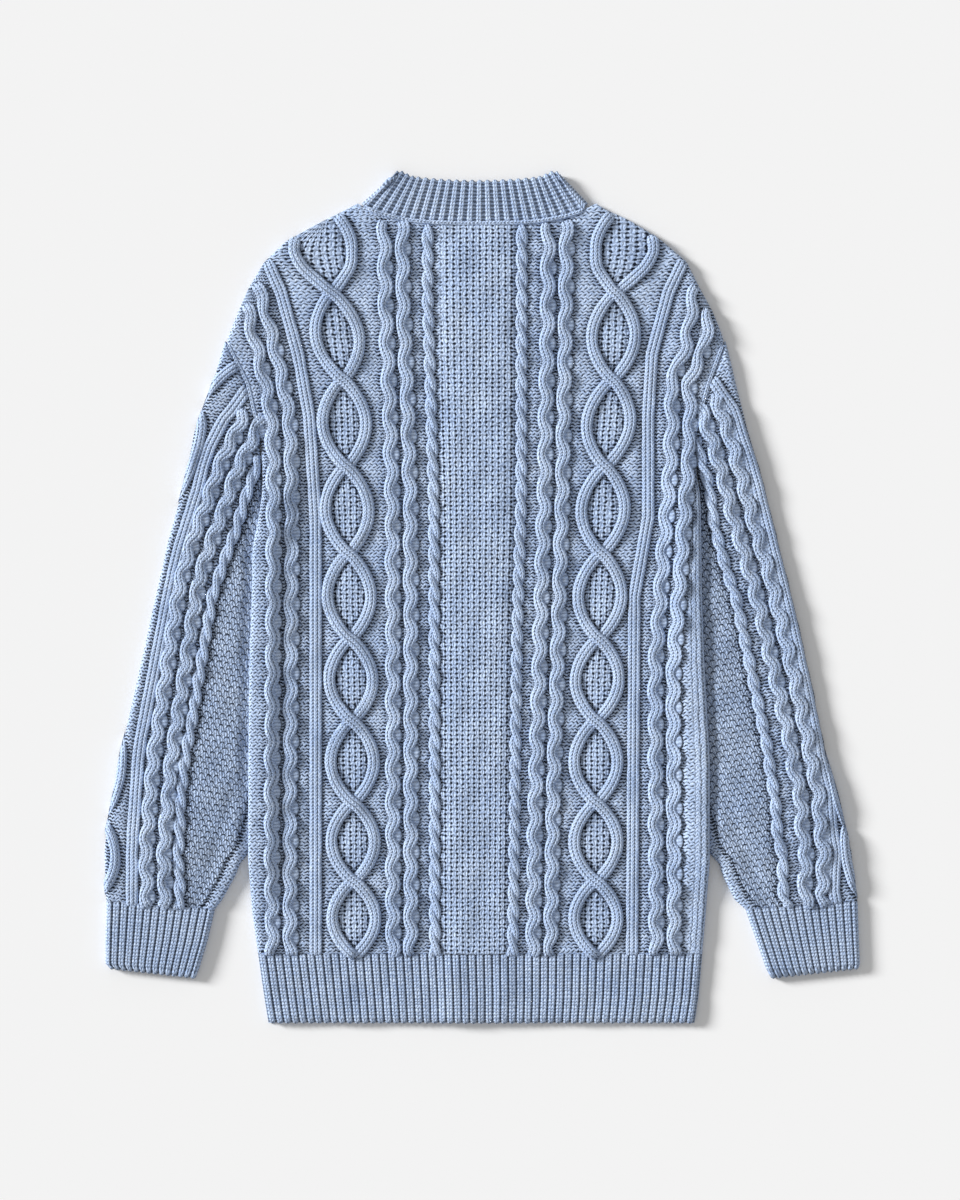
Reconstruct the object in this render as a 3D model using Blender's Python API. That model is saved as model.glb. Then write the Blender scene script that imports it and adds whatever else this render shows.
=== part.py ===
"""Cable knit cardigan, laid flat on its front with the back up.

Metres, +Z up, the neck towards +Y. The origin is under the middle of the garment, on the surface
that it lies on. Sizes below are in millimetres and become metres when a mesh is made.
"""
from math import cos, hypot, pi, radians, sin, sqrt

import bmesh
import bpy
import numpy

MM = 0.001
GAP = 0.3             # between pieces at a seam
SEAM = 0.8            # between the body and a sleeve along the armhole

# Layers of the cloth, as heights over the surface.
WALL = 3.0            # a single knitted wall
BACK_INSIDE = WALL + GAP
BACK_TOP = BACK_INSIDE + WALL
HOLLOW = 1.1          # inside a flat sleeve or cuff
SLEEVE_UNDER = 2.6    # lower wall of a sleeve
SLEEVE_TOP = SLEEVE_UNDER + HOLLOW + WALL
TUCKED = 2.0          # each wall of a sleeve where the body lies on it
TUCKED_HOLLOW = 0.4
SIDE_LIFT = 5.0       # how far a side of the body rises over a sleeve
LIFT_FLAT, LIFT_END = 17.0, 31.0
TUCK_START, TUCK_REACH = 1.5, 10.0
ROUND, ROUND_BEND = 3.8, 1.3    # width of a folded edge's rounding, and of its steep part
EDGE_DROP, SEAM_DROP = 1.8, 0.7     # how much lower the back is at its side and armhole edges
RIM = 0.8             # the inner sheet's inset from the outer one's edge
FRONT_ROUND, FRONT_ROUND_RISE = 1.6, 1.3
FOLD_SHARE = 0.5      # height of a tube's fold as a share of the tube's
UNDER_ROUND = 2.4     # from a tube's fold to where its underside is flat
INSIDE_FOLD = 3.4     # from a tube's fold to the end of its hollow
SMALL_STEP, STEP, BIG_STEP = 0.25, 0.6, 1.0     # least distances between columns

# Relief of the knitting over its plain ground.
CABLE_HEIGHT = 2.8
LADDER_HEIGHT = 0.6
RIDGE_HEIGHT = 1.5
ROPE_HEIGHT = 2.0
MOSS_HEIGHT = 0.8
RIB_HEIGHT, RIB_GROOVE = 0.6, -1.2
STRAND_HALF, STRAND_FLAT = 5.0, 2.3     # half the width of a cable strand, and of its flat top
RIDGE_HALF, RIDGE_FLAT = 5.4, 3.4
ROPE_HALF, ROPE_FLAT = 3.8, 1.7
PAIR_REACH, PAIR_SWING = 8.0, 3.2       # a wave cable's strands from its middle, and their swing
OVAL_HALF, FIRST_OVAL = 18.0, 24.0      # half the width of a lattice oval
MOSS_HALF = 31.0                        # half the width of the moss panel at the centre back

# Wave cables: the first bend is at WAVE_TOP, and the pitch shortens a little towards the hem.
WAVE_TOP, WAVE_PITCH, WAVE_SHORTENS = 273.0, 31.6, 0.135
OUTER_WAVE_LEAD = 9.0
HALF_WAVES = 39
LATTICE_CROSSINGS = (252, 180, 108, 36, -35, -103, -171, -236)
ABOVE_FIRST, BELOW_LAST = 74.0, 62.0    # from the end crossings to the ends of the lattice

# Ribs across each band.
HEM_RIBS, COLLAR_RIBS, CUFF_RIBS = 54, 20, 13
RIB_FLANK = 0.24      # share of a rib's pitch that each flank takes

# Neck, bands and hem.
MIDDLE = -3.3
HEM_TOP, HEM_FOOT = -297.0, -354.0
HEM_STATIONS, HEM_LAP_CLEAR = 16, 50.0  # columns of its plain side, which keep off the lap
HEM_ROWS = ((HEM_TOP - GAP, 0.2), (HEM_FOOT + 4.0, 0.0), (HEM_FOOT, 1.6))   # height, drop
NECK_BACK, NECK_RISE, NECK_HALF, NECK_BEND = 309.5, 17.0, 101.0, 3.2
NECK_CORNER = 326.5   # where the back's seam meets the shoulder fold
NECK_SLACK, SLACK_START, SLACK_FULL = 0.9, 30.0, 60.0
NECK_ANGLES = (22.5, 45.0, 67.5, 90.0)
FRONT_TOP = 322.0     # where a front ends, just below its neck corner
FRONT_NECK_TOP, FRONT_NECK_DEPTH, FRONT_RISE_RUN = 326.0, 80.0, 30.0
COLLAR_FREE_TOP, COLLAR_FREE_DEPTH, COLLAR_FREE_REACH = 353.0, 77.0, 50.0
COLLAR_EDGE, COLLAR_EDGE_RISE, COLLAR_EDGE_BEND = 345.3, 5.3, 2.2
COLLAR_BEND, COLLAR_HOLLOW, COLLAR_RIB_START = 1.8, 4.0, 4.5    # widths in from its fold
COLLAR_EDGE_DROP = 0.8
COLLAR_FOLD = {-1: ((-100.0, 326.5), (-67.5, 353.6)), 1: ((88.0, 326.5), (61.5, 353.6))}
BAND_HALF, BAND_HEAD = 15.0, 276.0
BAND_OVER = 1.5       # thickness of the band that lies inside the lap
LAP_RISE = 1.8        # how far the back rises over the lapped bands
LAP_HALF, LAP_SLOPE = BAND_HALF + 1.7, 22.0
BUTTONS = 6
BUTTON_RADIUS, BUTTON_THICK, BUTTON_SIDES = 9.0, 2.0, 20
BUTTON_LOW, BUTTON_HIGH = -331.0, 259.0
RECESS_CLEAR = 0.4
BELOW = 1.0           # how far the recesses' cutters start below the surface


def table(names, *rows):
    """Columns of a short table by name; the first is the place that the others are read at."""
    return dict(zip(names.split(), zip(*rows)))


def read(columns, name, place):
    """A column's value at a place, straight between the rows."""
    places = next(iter(columns.values()))
    return float(numpy.interp(place, places, columns[name]))


# Outline of the body. lift is the share of SIDE_LIFT that its sides rise by.
BODY = table(
    "y left right lift",
    (-354.0, -177.5, 176.5, 0.0),
    (-332.0, -181.0, 180.0, 0.0),
    (-297.0, -186.0, 183.0, 0.0),
    (-262.0, -191.0, 186.0, 0.0),
    (-218.0, -194.0, 189.0, 1.0),
    (-136.0, -194.0, 189.0, 1.0),
    (-55.0, -193.0, 184.5, 1.0),
    (0.0, -191.0, 182.5, 1.0),
    (40.0, -190.5, 182.0, 1.0),
    (68.0, -185.0, 181.5, 1.0),
    (84.0, -182.5, 181.0, 1.0),
    (98.0, -182.0, 178.5, 0.72),
    (130.0, -184.0, 175.5, 0.0),
    (177.0, -195.0, 188.5, 0.0),
    (212.0, -212.5, 201.5, 0.0),
    (236.0, -203.0, 192.0, 0.0),
    (256.0, -194.0, 181.0, 0.0),
    (278.0, -181.0, 170.0, 0.0),
    (296.0, -162.0, 149.0, 0.0),
    (312.0, -132.0, 123.5, 0.0),
    (322.0, -112.0, 101.5, 0.0),
    (326.5, -103.5, 95.0, 0.0),
)
UNDERARM, ARMHOLE_BEND, SHOULDER_TIP = 130.0, 177.0, 212.0
CORNER_REACH = 4.0    # a row this close to a corner of the outline is moved onto it
SHOULDER_ROWS = (283.0, 256.0, 236.0, SHOULDER_TIP, ARMHOLE_BEND)
HEM_BREAK = -332.0    # where the outline of the hem turns
SIDE_ROWS = (130.0, 98.0, 84.0, 68.0, 40.0, 0.0, -55.0, -136.0, -218.0, -262.0, -297.0)

# Folded edges of the sleeves: the outer one, and the inner one, partly under the body.
OUTER_FOLD = table(
    "y left right",
    (-253.0, -312.0, 312.0),
    (-242.0, -313.0, 309.5),
    (-212.0, -313.5, 307.0),
    (-192.0, -312.0, 301.5),
    (-162.0, -305.5, 294.5),
    (-132.0, -300.5, 285.5),
    (-72.0, -287.0, 273.5),
    (-13.0, -274.0, 260.5),
    (47.0, -260.5, 245.5),
    (97.0, -246.5, 233.0),
    (137.0, -239.0, 221.0),
    (176.0, -224.0, 211.0),
    (212.0, -213.5, 202.5),
)
INNER_FOLD = table(
    "y left right",
    (-260.0, -222.0, 219.0),
    (-252.0, -216.0, 210.0),
    (-232.0, -205.0, 200.0),
    (-222.0, -201.0, 197.0),
    (-215.0, -195.5, 190.5),
    (-205.0, -190.5, 185.0),
    (-180.0, -183.5, 178.0),
    (-136.0, -179.5, 174.0),
    (-60.0, -178.5, 169.5),
    (-10.0, -177.0, 168.0),
    (40.0, -180.0, 172.0),
    (60.0, -182.0, 178.0),
    (84.0, -183.4, 181.9),
    (98.0, -182.9, 179.4),
    (130.0, -184.8, 176.3),
)
CUFF = table(
    "y_outer y_inner left_outer left_inner right_outer right_inner",
    (-309.0, -317.0, -309.5, -238.0, 313.0, 240.0),
    (-305.0, -309.0, -313.0, -235.0, 314.0, 236.0),
    (-282.0, -286.0, -312.8, -228.0, 313.0, 228.0),
    (-253.4, -260.4, -312.0, -222.0, 312.0, 219.0),
)

# Where the relief runs on the back: the middle of each band of it.
OUTER_PAIR = table(
    "y left right",
    (-297.0, -167.0, 151.5),
    (-170.0, -167.5, 151.0),
    (-60.0, -166.5, 150.5),
    (30.0, -166.0, 157.0),
    (110.0, -166.0, 163.0),
    (150.0, -168.0, 165.0),
    (177.0, -173.0, 163.5),
    (209.0, -180.5, 177.0),
    (240.0, -188.0, 186.0),
)
RIDGE = table(
    "y left right",
    (-297.0, -138.0, 124.5),
    (0.0, -138.0, 126.5),
    (66.0, -138.0, 138.0),
    (150.0, -143.5, 138.0),
    (201.0, -152.5, 141.0),
    (253.0, -167.0, 155.0),
    (278.0, -178.0, 167.0),
)
LATTICE = table(
    "y left right",
    (-297.0, -106.0, 94.5),
    (-103.0, -108.0, 94.5),
    (36.0, -111.0, 99.0),
    (108.0, -113.0, 102.0),
    (180.0, -115.5, 108.0),
    (252.0, -124.5, 110.5),
    (286.0, -132.0, 118.5),
)
INNER_PAIR = table(
    "y left right",
    (-297.0, -67.0, 49.0),
    (-169.0, -67.0, 51.0),
    (-36.0, -67.0, 55.0),
    (80.0, -67.5, 58.5),
    (163.0, -70.0, 60.0),
    (246.0, -73.5, 61.5),
    (296.0, -74.0, 62.0),
)
ROPE = table(
    "y left right",
    (-297.0, -39.0, 25.5),
    (-36.0, -39.5, 29.0),
    (80.0, -40.0, 32.5),
    (246.0, -45.0, 33.0),
)

# The same bands on the sleeves, as shares of the width from the outer fold.
SLEEVE_RELIEF = {
    -1: table(
        "along ridge pair rope",
        (0.0, 0.490, 0.742, 1.040),
        (0.1, 0.265, 0.537, 0.810),
        (0.2, 0.168, 0.409, 0.656),
        (0.3, 0.131, 0.313, 0.545),
        (0.4, 0.105, 0.252, 0.474),
        (0.7, 0.116, 0.279, 0.441),
        (0.8, 0.148, 0.304, 0.453),
        (0.9, 0.205, 0.363, 0.535),
        (1.0, 0.239, 0.449, 0.670),
    ),
    1: table(
        "along ridge pair rope",
        (0.0, 0.367, 0.553, 0.960),
        (0.1, 0.137, 0.436, 0.853),
        (0.2, 0.075, 0.342, 0.675),
        (0.4, 0.075, 0.238, 0.489),
        (0.7, 0.075, 0.190, 0.419),
        (0.8, 0.080, 0.203, 0.438),
        (0.9, 0.125, 0.279, 0.512),
        (1.0, 0.196, 0.375, 0.618),
    ),
}
SIDE_NAME = {-1: "left", 1: "right"}
SLEEVE_HALF_WAVES = 36
SLEEVE_INSIDE_STEP = 3
SLEEVE_CREASE = 0.43  # a column of the hidden walls, as a share of the width
ARMHOLE_FADE = 0.35   # share of the sleeve's length that the armhole's bend dies out over
CUFF_STATIONS = (0.12, 0.26, 0.42, 0.58, 0.74, 0.88)    # columns of a cuff's plain walls
CUFF_HOLLOW, CUFF_EDGE_DROP = 0.9, 1.0
SLEEVE_PUFF = 2.4     # the fullness over a cuff
PUFF_START = 0.72

# Colours (linear) and finish.
KNIT_COLOUR = (0.255, 0.325, 0.440, 1.0)
RIB_COLOUR = (0.235, 0.300, 0.415, 1.0)
BUTTON_COLOUR = (0.055, 0.075, 0.125, 1.0)
YARN_ROUGHNESS, BUTTON_ROUGHNESS = 0.92, 0.35

PARTS = "cable_knit_cardigan"
HELPERS = "helpers"


def clear_scene():
    for item in list(bpy.data.objects):
        bpy.data.objects.remove(item, do_unlink=True)


def new_collection(name):
    collection = bpy.data.collections.new(name)
    bpy.context.scene.collection.children.link(collection)
    return collection


def material(name, colour, roughness):
    finish = bpy.data.materials.new(name)
    finish.use_nodes = True
    shader = finish.node_tree.nodes["Principled BSDF"]
    shader.inputs["Base Color"].default_value = colour
    shader.inputs["Roughness"].default_value = roughness
    shader.inputs["Metallic"].default_value = 0.0
    return finish


def add_object(name, mesh_builder, collection, colour, roughness):
    """An object whose mesh is worked out in millimetres and stored in metres."""
    bmesh.ops.recalc_face_normals(mesh_builder, faces=mesh_builder.faces)
    bmesh.ops.scale(mesh_builder, vec=(MM, MM, MM), verts=mesh_builder.verts)
    mesh = bpy.data.meshes.new(name)
    mesh_builder.to_mesh(mesh)
    mesh_builder.free()
    mesh.materials.append(material(name, colour, roughness))
    part = bpy.data.objects.new(name, mesh)
    collection.objects.link(part)
    return part


# ---------------------------------------------------------------- walls and tubes of cloth


def share(value, start, end):
    """How far a value is from start to end, held between 0 and 1."""
    return min(1.0, max(0.0, (value - start) / (end - start)))


def smooth(amount):
    return amount * amount * (3.0 - 2.0 * amount)


def spread(places, gap):
    """Places in rising order, each at least a gap from the next, with both ends kept."""
    result = list(places)
    for i in range(1, len(result)):
        result[i] = max(result[i], result[i - 1] + gap)
    result[-1] = places[-1]
    for i in range(len(result) - 2, -1, -1):
        result[i] = min(result[i], result[i + 1] - gap)
    return result


def add_grid(builder, rows):
    return [[builder.verts.new(point) for point in row] for row in rows]


def skin(builder, grid, around=False):
    """Two triangles in each cell of a grid of vertices."""
    for upper, lower in zip(grid, grid[1:]):
        cells = len(upper) if around else len(upper) - 1
        for i in range(cells):
            j = (i + 1) % len(upper)
            builder.faces.new((upper[i], upper[j], lower[j]))
            builder.faces.new((upper[i], lower[j], lower[i]))


def plan_shares(edge):
    """Each vertex's share of an edge's length, seen from above."""
    lengths = [0.0]
    for first, second in zip(edge, edge[1:]):
        lengths.append(lengths[-1] + hypot(second.co.x - first.co.x, second.co.y - first.co.y))
    whole = lengths[-1] or 1.0
    return [length / whole for length in lengths]


def close_edge(builder, outside, inside):
    """A strip of triangles between two edges with unlike numbers of vertices."""
    outer_share, inner_share = plan_shares(outside), plan_shares(inside)
    i = j = 0
    while i < len(outside) - 1 or j < len(inside) - 1:
        next_outer = outer_share[i + 1] if i < len(outside) - 1 else 2.0
        next_inner = inner_share[j + 1] if j < len(inside) - 1 else 2.0
        if next_outer <= next_inner:
            builder.faces.new((outside[i], outside[i + 1], inside[j]))
            i += 1
        else:
            builder.faces.new((outside[i], inside[j + 1], inside[j]))
            j += 1


def wall(outside, inside, breaks=((0, 0), (-1, -1))):
    """A panel: an outer grid with the relief, a plain inner one, and a rim between them.

    breaks pairs the outer and inner columns that face each other, along the first and last rows.
    """
    builder = bmesh.new()
    outer, inner = add_grid(builder, outside), add_grid(builder, inside)
    skin(builder, outer)
    skin(builder, inner)
    ends = [(a % len(outer[0]), b % len(inner[0])) for a, b in breaks]
    for row in (0, -1):
        for (a, b), (c, d) in zip(ends, ends[1:]):
            close_edge(builder, outer[row][a:c + 1], inner[row][b:d + 1])
    for column in (0, -1):
        close_edge(builder, [row[column] for row in outer], [row[column] for row in inner])
    return builder


def tube(rings, inner_rings):
    """A flat tube. A ring is (top, under), each from the outer fold to the inner one."""
    builder = bmesh.new()
    grids = []
    for loops in (rings, inner_rings):
        grids.append(add_grid(builder, [top + under[-2:0:-1] for top, under in loops]))
        skin(builder, grids[-1], around=True)
    outer, inner = grids
    outer_top, inner_top = len(rings[0][0]), len(inner_rings[0][0])
    for end in (0, -1):
        out, ins = outer[end], inner[end]
        close_edge(builder, out[:outer_top], ins[:inner_top])
        close_edge(builder, out[outer_top - 1:] + out[:1], ins[inner_top - 1:] + ins[:1])
    return builder


# ---------------------------------------------------------------- the body's shape


def body_edge(y, side):
    return read(BODY, SIDE_NAME[side], y)


def edge_slant(y, side):
    """Turns a distance along X from the outline into one square to it."""
    step = 4.0
    run = (body_edge(y + step, side) - body_edge(y - step, side)) / (2.0 * step)
    return 1.0 / sqrt(1.0 + run * run)


def lift(x, y):
    """Rise of the body's underside over the sleeves that are tucked below it."""
    inset = min(x - body_edge(y, -1), body_edge(y, 1) - x)
    return SIDE_LIFT * read(BODY, "lift", y) * (1.0 - share(inset, LIFT_FLAT, LIFT_END))


def lap(x, y):
    """Rise of the back over the two lapped bands at the centre front."""
    beside = share(abs(x - MIDDLE), LAP_HALF, LAP_HALF + LAP_SLOPE)
    return LAP_RISE * (1.0 - beside) * share(-y, -NECK_BACK, -SHOULDER_ROWS[0])


def lap_places():
    """Where the rise over the bands starts and is full, on both sides."""
    return [MIDDLE + x for x in (-LAP_HALF - LAP_SLOPE, -LAP_HALF, LAP_HALF, LAP_HALF + LAP_SLOPE)]


def neck_seam(x):
    return NECK_BACK + NECK_RISE * (abs(x - MIDDLE) / NECK_HALF) ** NECK_BEND


def neck_edge(x):
    """The back's edge along the collar, a little slacker where the seam curves up."""
    return neck_seam(x) - GAP - NECK_SLACK * share(abs(x - MIDDLE), SLACK_START, SLACK_FULL)


def edge_round(distance, low, full):
    """Height of a rounded edge at a distance in from the fold."""
    turned = 1.0 - share(distance, 0.0, ROUND)
    return low + (full - low) * sqrt(1.0 - turned * turned)


# ---------------------------------------------------------------- bands of relief


def waves(y):
    """How many waves lie between the first bend and a height."""
    inside = WAVE_PITCH ** 2 - 4.0 * WAVE_SHORTENS * (WAVE_TOP - y)
    return (WAVE_PITCH - sqrt(inside)) / (2.0 * WAVE_SHORTENS)


def wave_height(count):
    return WAVE_TOP - WAVE_PITCH * count + WAVE_SHORTENS * count * count


def pair_relief(phase):
    """Two strands that bend apart and together, with a low ladder between them."""
    reach = PAIR_REACH + PAIR_SWING * cos(2.0 * pi * phase)
    strand = ((reach - STRAND_FLAT, CABLE_HEIGHT), (reach + STRAND_FLAT, CABLE_HEIGHT),
              (reach + STRAND_HALF, 0.0))
    return mirrored(strand, [(0.0, LADDER_HEIGHT)])


def lattice_relief(half):
    """Two strands that part round an oval of moss stitch and cross below it."""
    merge = 1.0 - share(half, STRAND_HALF, STRAND_HALF + 4.0)
    between = MOSS_HEIGHT + (CABLE_HEIGHT - MOSS_HEIGHT) * merge
    strand = ((max(half - STRAND_HALF, 0.6), between),
              (max(half - STRAND_FLAT, 1.5), CABLE_HEIGHT),
              (half + STRAND_FLAT, CABLE_HEIGHT), (half + STRAND_HALF, 0.0))
    return mirrored(strand, [])


def mirrored(side, centre):
    return [(-x, z) for x, z in reversed(side)] + centre + list(side)


def ridge_relief():
    return mirrored(((RIDGE_FLAT, RIDGE_HEIGHT), (RIDGE_HALF, 0.0)), [])


def rope_relief():
    return mirrored(((ROPE_FLAT, ROPE_HEIGHT), (ROPE_HALF, 0.0)), [])


def oval_half(y):
    """Half the width between the lattice strands at a height."""
    heights = LATTICE_CROSSINGS[::-1]
    below, above = heights[0] - BELOW_LAST, heights[-1] + ABOVE_FIRST
    count = numpy.interp(y, (below, *heights, above), range(len(heights) + 2))
    widest = OVAL_HALF + (FIRST_OVAL - OVAL_HALF) * share(y, heights[-1], heights[-1] + 20.0)
    return max(3.0, widest * abs(sin(pi * count)) ** 0.7)


# ---------------------------------------------------------------- back


def back_rows():
    """Rows of the back from the neck to the hem: the height at the sides and at the middle."""
    rows = [(NECK_CORNER, None), (312.0, 301.0), (296.0, 289.0)]
    for half_wave in range(HALF_WAVES):
        y = wave_height(half_wave / 2.0)
        for corner in (SHOULDER_TIP, ARMHOLE_BEND, UNDERARM):
            if abs(y - corner) < CORNER_REACH:
                y = corner
        rows.append((y, y))
    rows.append((HEM_TOP, HEM_TOP))
    return rows


def row_height(row, x):
    """Height of a row at x: the first follows the neck seam, the next two level out."""
    at_side, at_middle = row
    if at_middle is None:
        return neck_edge(x)
    half = (body_edge(at_side, 1) - body_edge(at_side, -1)) / 2.0
    return at_middle + (at_side - at_middle) * min(1.0, abs(x - MIDDLE) / half) ** 2


def lattice_rows(rows):
    """Heights of the rows along the lattices, moved so that a row meets each crossing."""
    heights = [row[0] for row in rows]
    marks, places = [0], [heights[0]]
    for crossing in LATTICE_CROSSINGS:
        marks.append(min(range(len(heights)), key=lambda i: abs(heights[i] - crossing)))
        places.append(crossing)
    marks.append(len(heights) - 1)
    places.append(heights[-1])
    return numpy.interp(range(len(heights)), marks, places)


def back_columns(y, lattice_y, lead):
    """Columns of one row as (x, height of the relief, height of the row along it)."""
    columns = []

    def lay(route, side, relief, at):
        middle = read(route, SIDE_NAME[side], at)
        return [(middle + dx, dz, at) for dx, dz in relief]

    for side in (-1, 1):
        outer = lay(OUTER_PAIR, side, pair_relief(waves(y)), y + lead)
        ridge = lay(RIDGE, side, ridge_relief(), y + lead / 2.0)
        lattice = lay(LATTICE, side, lattice_relief(oval_half(lattice_y)), lattice_y)
        inner = lay(INNER_PAIR, side, pair_relief(waves(y)), y)
        rope = lay(ROPE, side, rope_relief(), y)
        moss = [(MIDDLE + side * MOSS_HALF, MOSS_HEIGHT, y)]
        bands = (outer, ridge, lattice, inner, rope, moss)
        for band in bands if side < 0 else reversed(bands):
            columns += band
    return columns


def make_back():
    rows = back_rows()
    snapped = lattice_rows(rows)
    outside = []
    for number, row in enumerate(rows):
        y = row[0]
        lead = OUTER_WAVE_LEAD * share(y, HEM_TOP, HEM_TOP + 50.0) * share(-y, -280.0, -230.0)
        left, right = body_edge(y, -1), body_edge(y, 1)
        slants = {-1: edge_slant(y, -1), 1: edge_slant(y, 1)}
        columns = back_columns(y, snapped[number], lead)
        places = [left] + [left + d / slants[-1] for d in (ROUND_BEND, ROUND)]
        places += [column[0] for column in columns]
        places += [right - d / slants[1] for d in (ROUND, ROUND_BEND)] + [right]
        places = spread(places, SMALL_STEP)
        reliefs = [0.0] * 3 + [column[1] for column in columns] + [0.0] * 3
        heights = [y] * 3 + [column[2] for column in columns] + [y] * 3
        at_seam = 0.35 if number == 0 else 1.0
        seamed = UNDERARM < y < SHOULDER_TIP
        line = []
        for x, relief, height in zip(places, reliefs, heights):
            along = row_height(row, x) + height - y
            inset = min((x - left) * slants[-1], (right - x) * slants[1])
            low = BACK_TOP - (SEAM_DROP if seamed else EDGE_DROP)
            z = edge_round(inset, low, BACK_TOP) + lift(x, along) + lap(x, along)
            z += relief * at_seam * smooth(share(inset, 1.0, 8.0))
            line.append((x, along, z))
        outside.append(line)
    inside = []
    for y in (NECK_CORNER, *SHOULDER_ROWS, *SIDE_ROWS):
        left, right = body_edge(y, -1), body_edge(y, 1)
        places = [left + inset for inset in (RIM, LIFT_FLAT, LIFT_END)] + lap_places()
        places += [right - inset for inset in (LIFT_END, LIFT_FLAT, RIM)]
        line = []
        for x in spread(places, BIG_STEP):
            along = neck_edge(x) if y == NECK_CORNER else y
            line.append((x, along, BACK_INSIDE + lift(x, along) + lap(x, along)))
        inside.append(line)
    return wall(outside, inside)


# ---------------------------------------------------------------- fronts


def front_neck(angle, side, reach):
    """A point of the front neckline: 0 degrees is at the shoulder and 90 at the band."""
    edge = MIDDLE + side * (BAND_HALF + GAP)
    turn = radians(angle)
    return edge + side * reach * cos(turn), FRONT_NECK_TOP - FRONT_NECK_DEPTH * sin(turn)


def neck_reach(side):
    """Width of the front neckline's curve, from the band to the collar's fold."""
    return abs(COLLAR_FOLD[side][0][0] - (MIDDLE + side * (BAND_HALF + GAP)))


def front_edge(y, side):
    """The inner edge of a front: its neckline above the band's head, then the band's seam."""
    edge = MIDDLE + side * (BAND_HALF + GAP)
    depth = (FRONT_NECK_TOP - y) / FRONT_NECK_DEPTH
    if depth >= 1.0:
        return edge
    return edge + side * (GAP + neck_reach(side) * sqrt(1.0 - depth * depth))


def front_rise(x, y, side):
    """The left front steps up beside the lap, to meet the band that lies inside it."""
    if side > 0:
        return 0.0
    below_neck = share(FRONT_NECK_TOP - FRONT_NECK_DEPTH - y, 0.0, FRONT_RISE_RUN)
    return LAP_RISE * below_neck * (1.0 - share(MIDDLE - LAP_HALF - x, 0.0, LAP_SLOPE))


def front_sheets(rows, side):
    """Outer (lower) and inner (upper) grids of a front or of its hem."""
    lower, upper = [], []
    for y in rows:
        border, inner_edge = body_edge(y, side), front_edge(y, side)
        slope = MIDDLE + side * (LAP_HALF + LAP_SLOPE)
        insets = {"lower": (0.0, FRONT_ROUND, LIFT_FLAT, LIFT_END),
                  "upper": (RIM, LIFT_FLAT, LIFT_END)}
        for name, grid, base in (("lower", lower, 0.0), ("upper", upper, WALL)):
            places = [-side * border + inset for inset in insets[name]]
            places += [-side * slope, -side * inner_edge]
            places = [-side * x for x in spread(places, STEP)]
            line = []
            for number, x in enumerate(places):
                z = base + lift(x, y) + front_rise(x, y, side)
                if name == "lower" and number == 0:
                    z += FRONT_ROUND_RISE
                line.append((x, y, z))
            grid.append(line if side < 0 else line[::-1])
    return lower, upper


def make_front(side):
    rows = [FRONT_TOP]
    rows += [front_neck(angle, side, neck_reach(side))[1] for angle in NECK_ANGLES]
    rows += [*SHOULDER_ROWS[2:], *SIDE_ROWS]
    return wall(*front_sheets(rows, side))


def make_front_hem(side):
    return wall(*front_sheets((HEM_TOP - GAP, HEM_BREAK, HEM_FOOT), side))


# ---------------------------------------------------------------- ribbed bands


def rib_places(count):
    """Across a ribbed band: each groove, and both edges of the rib's top, as (share, height)."""
    places = []
    for rib in range(count):
        places += [(rib, RIB_GROOVE), (rib + RIB_FLANK, RIB_HEIGHT),
                   (rib + 1.0 - RIB_FLANK, RIB_HEIGHT)]
    places.append((count, RIB_GROOVE))
    return [(place / count, height) for place, height in places]


def make_back_hem():
    outside = []
    for y, drop in HEM_ROWS:
        left, right = body_edge(y, -1), body_edge(y, 1)
        line = [(left, y, BACK_TOP - EDGE_DROP),
                (left + ROUND_BEND, y, BACK_TOP - EDGE_DROP / 3.0)]
        for part, relief in rib_places(HEM_RIBS):
            x = left + ROUND + part * (right - left - 2.0 * ROUND)
            line.append((x, y, BACK_TOP + relief + lap(x, y) - drop))
        line += [(right - ROUND_BEND, y, BACK_TOP - EDGE_DROP / 3.0),
                 (right, y, BACK_TOP - EDGE_DROP)]
        outside.append(line)
    inside = []
    for y in (HEM_TOP - GAP, HEM_BREAK, HEM_FOOT):
        left, right = body_edge(y, -1) + RIM, body_edge(y, 1) - RIM
        beside = [left + (right - left) * part / HEM_STATIONS for part in range(HEM_STATIONS + 1)]
        places = sorted([*lap_places(), *[x for x in beside if abs(x - MIDDLE) > HEM_LAP_CLEAR]])
        inside.append([(x, y, BACK_INSIDE + lap(x, y)) for x in places])
    return wall(outside, inside)


def fold_point(side, inset, end):
    """A point beside the collar's folded edge: end 0 is at the seam and 1 at the free edge."""
    (x0, y0), (x1, y1) = COLLAR_FOLD[side]
    length = hypot(x1 - x0, y1 - y0)
    across = ((y1 - y0) / length, abs(x1 - x0) / length)
    return (x0 + (x1 - x0) * end - side * inset * abs(across[0]),
            y0 + (y1 - y0) * end - inset * across[1])


def collar_line(seam, free, z_seam, z_free):
    """Three points across the collar, from its seam to its free edge."""
    middle = tuple((a + b) / 2.0 for a, b in zip(seam, free))
    return [(*seam, z_seam), (*middle, z_seam), (*free, z_free)]


def collar_front(side, angle, z):
    seam = front_neck(angle, side, neck_reach(side))
    turn = radians(angle)
    edge = MIDDLE + side * (BAND_HALF + GAP)
    free = (edge + side * COLLAR_FREE_REACH * cos(turn),
            COLLAR_FREE_TOP - COLLAR_FREE_DEPTH * sin(turn))
    return collar_line(seam, free, z, z)


def collar_fold(side, inset, z):
    return collar_line(fold_point(side, inset, 0.0), fold_point(side, inset, 1.0), z, z)


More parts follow.
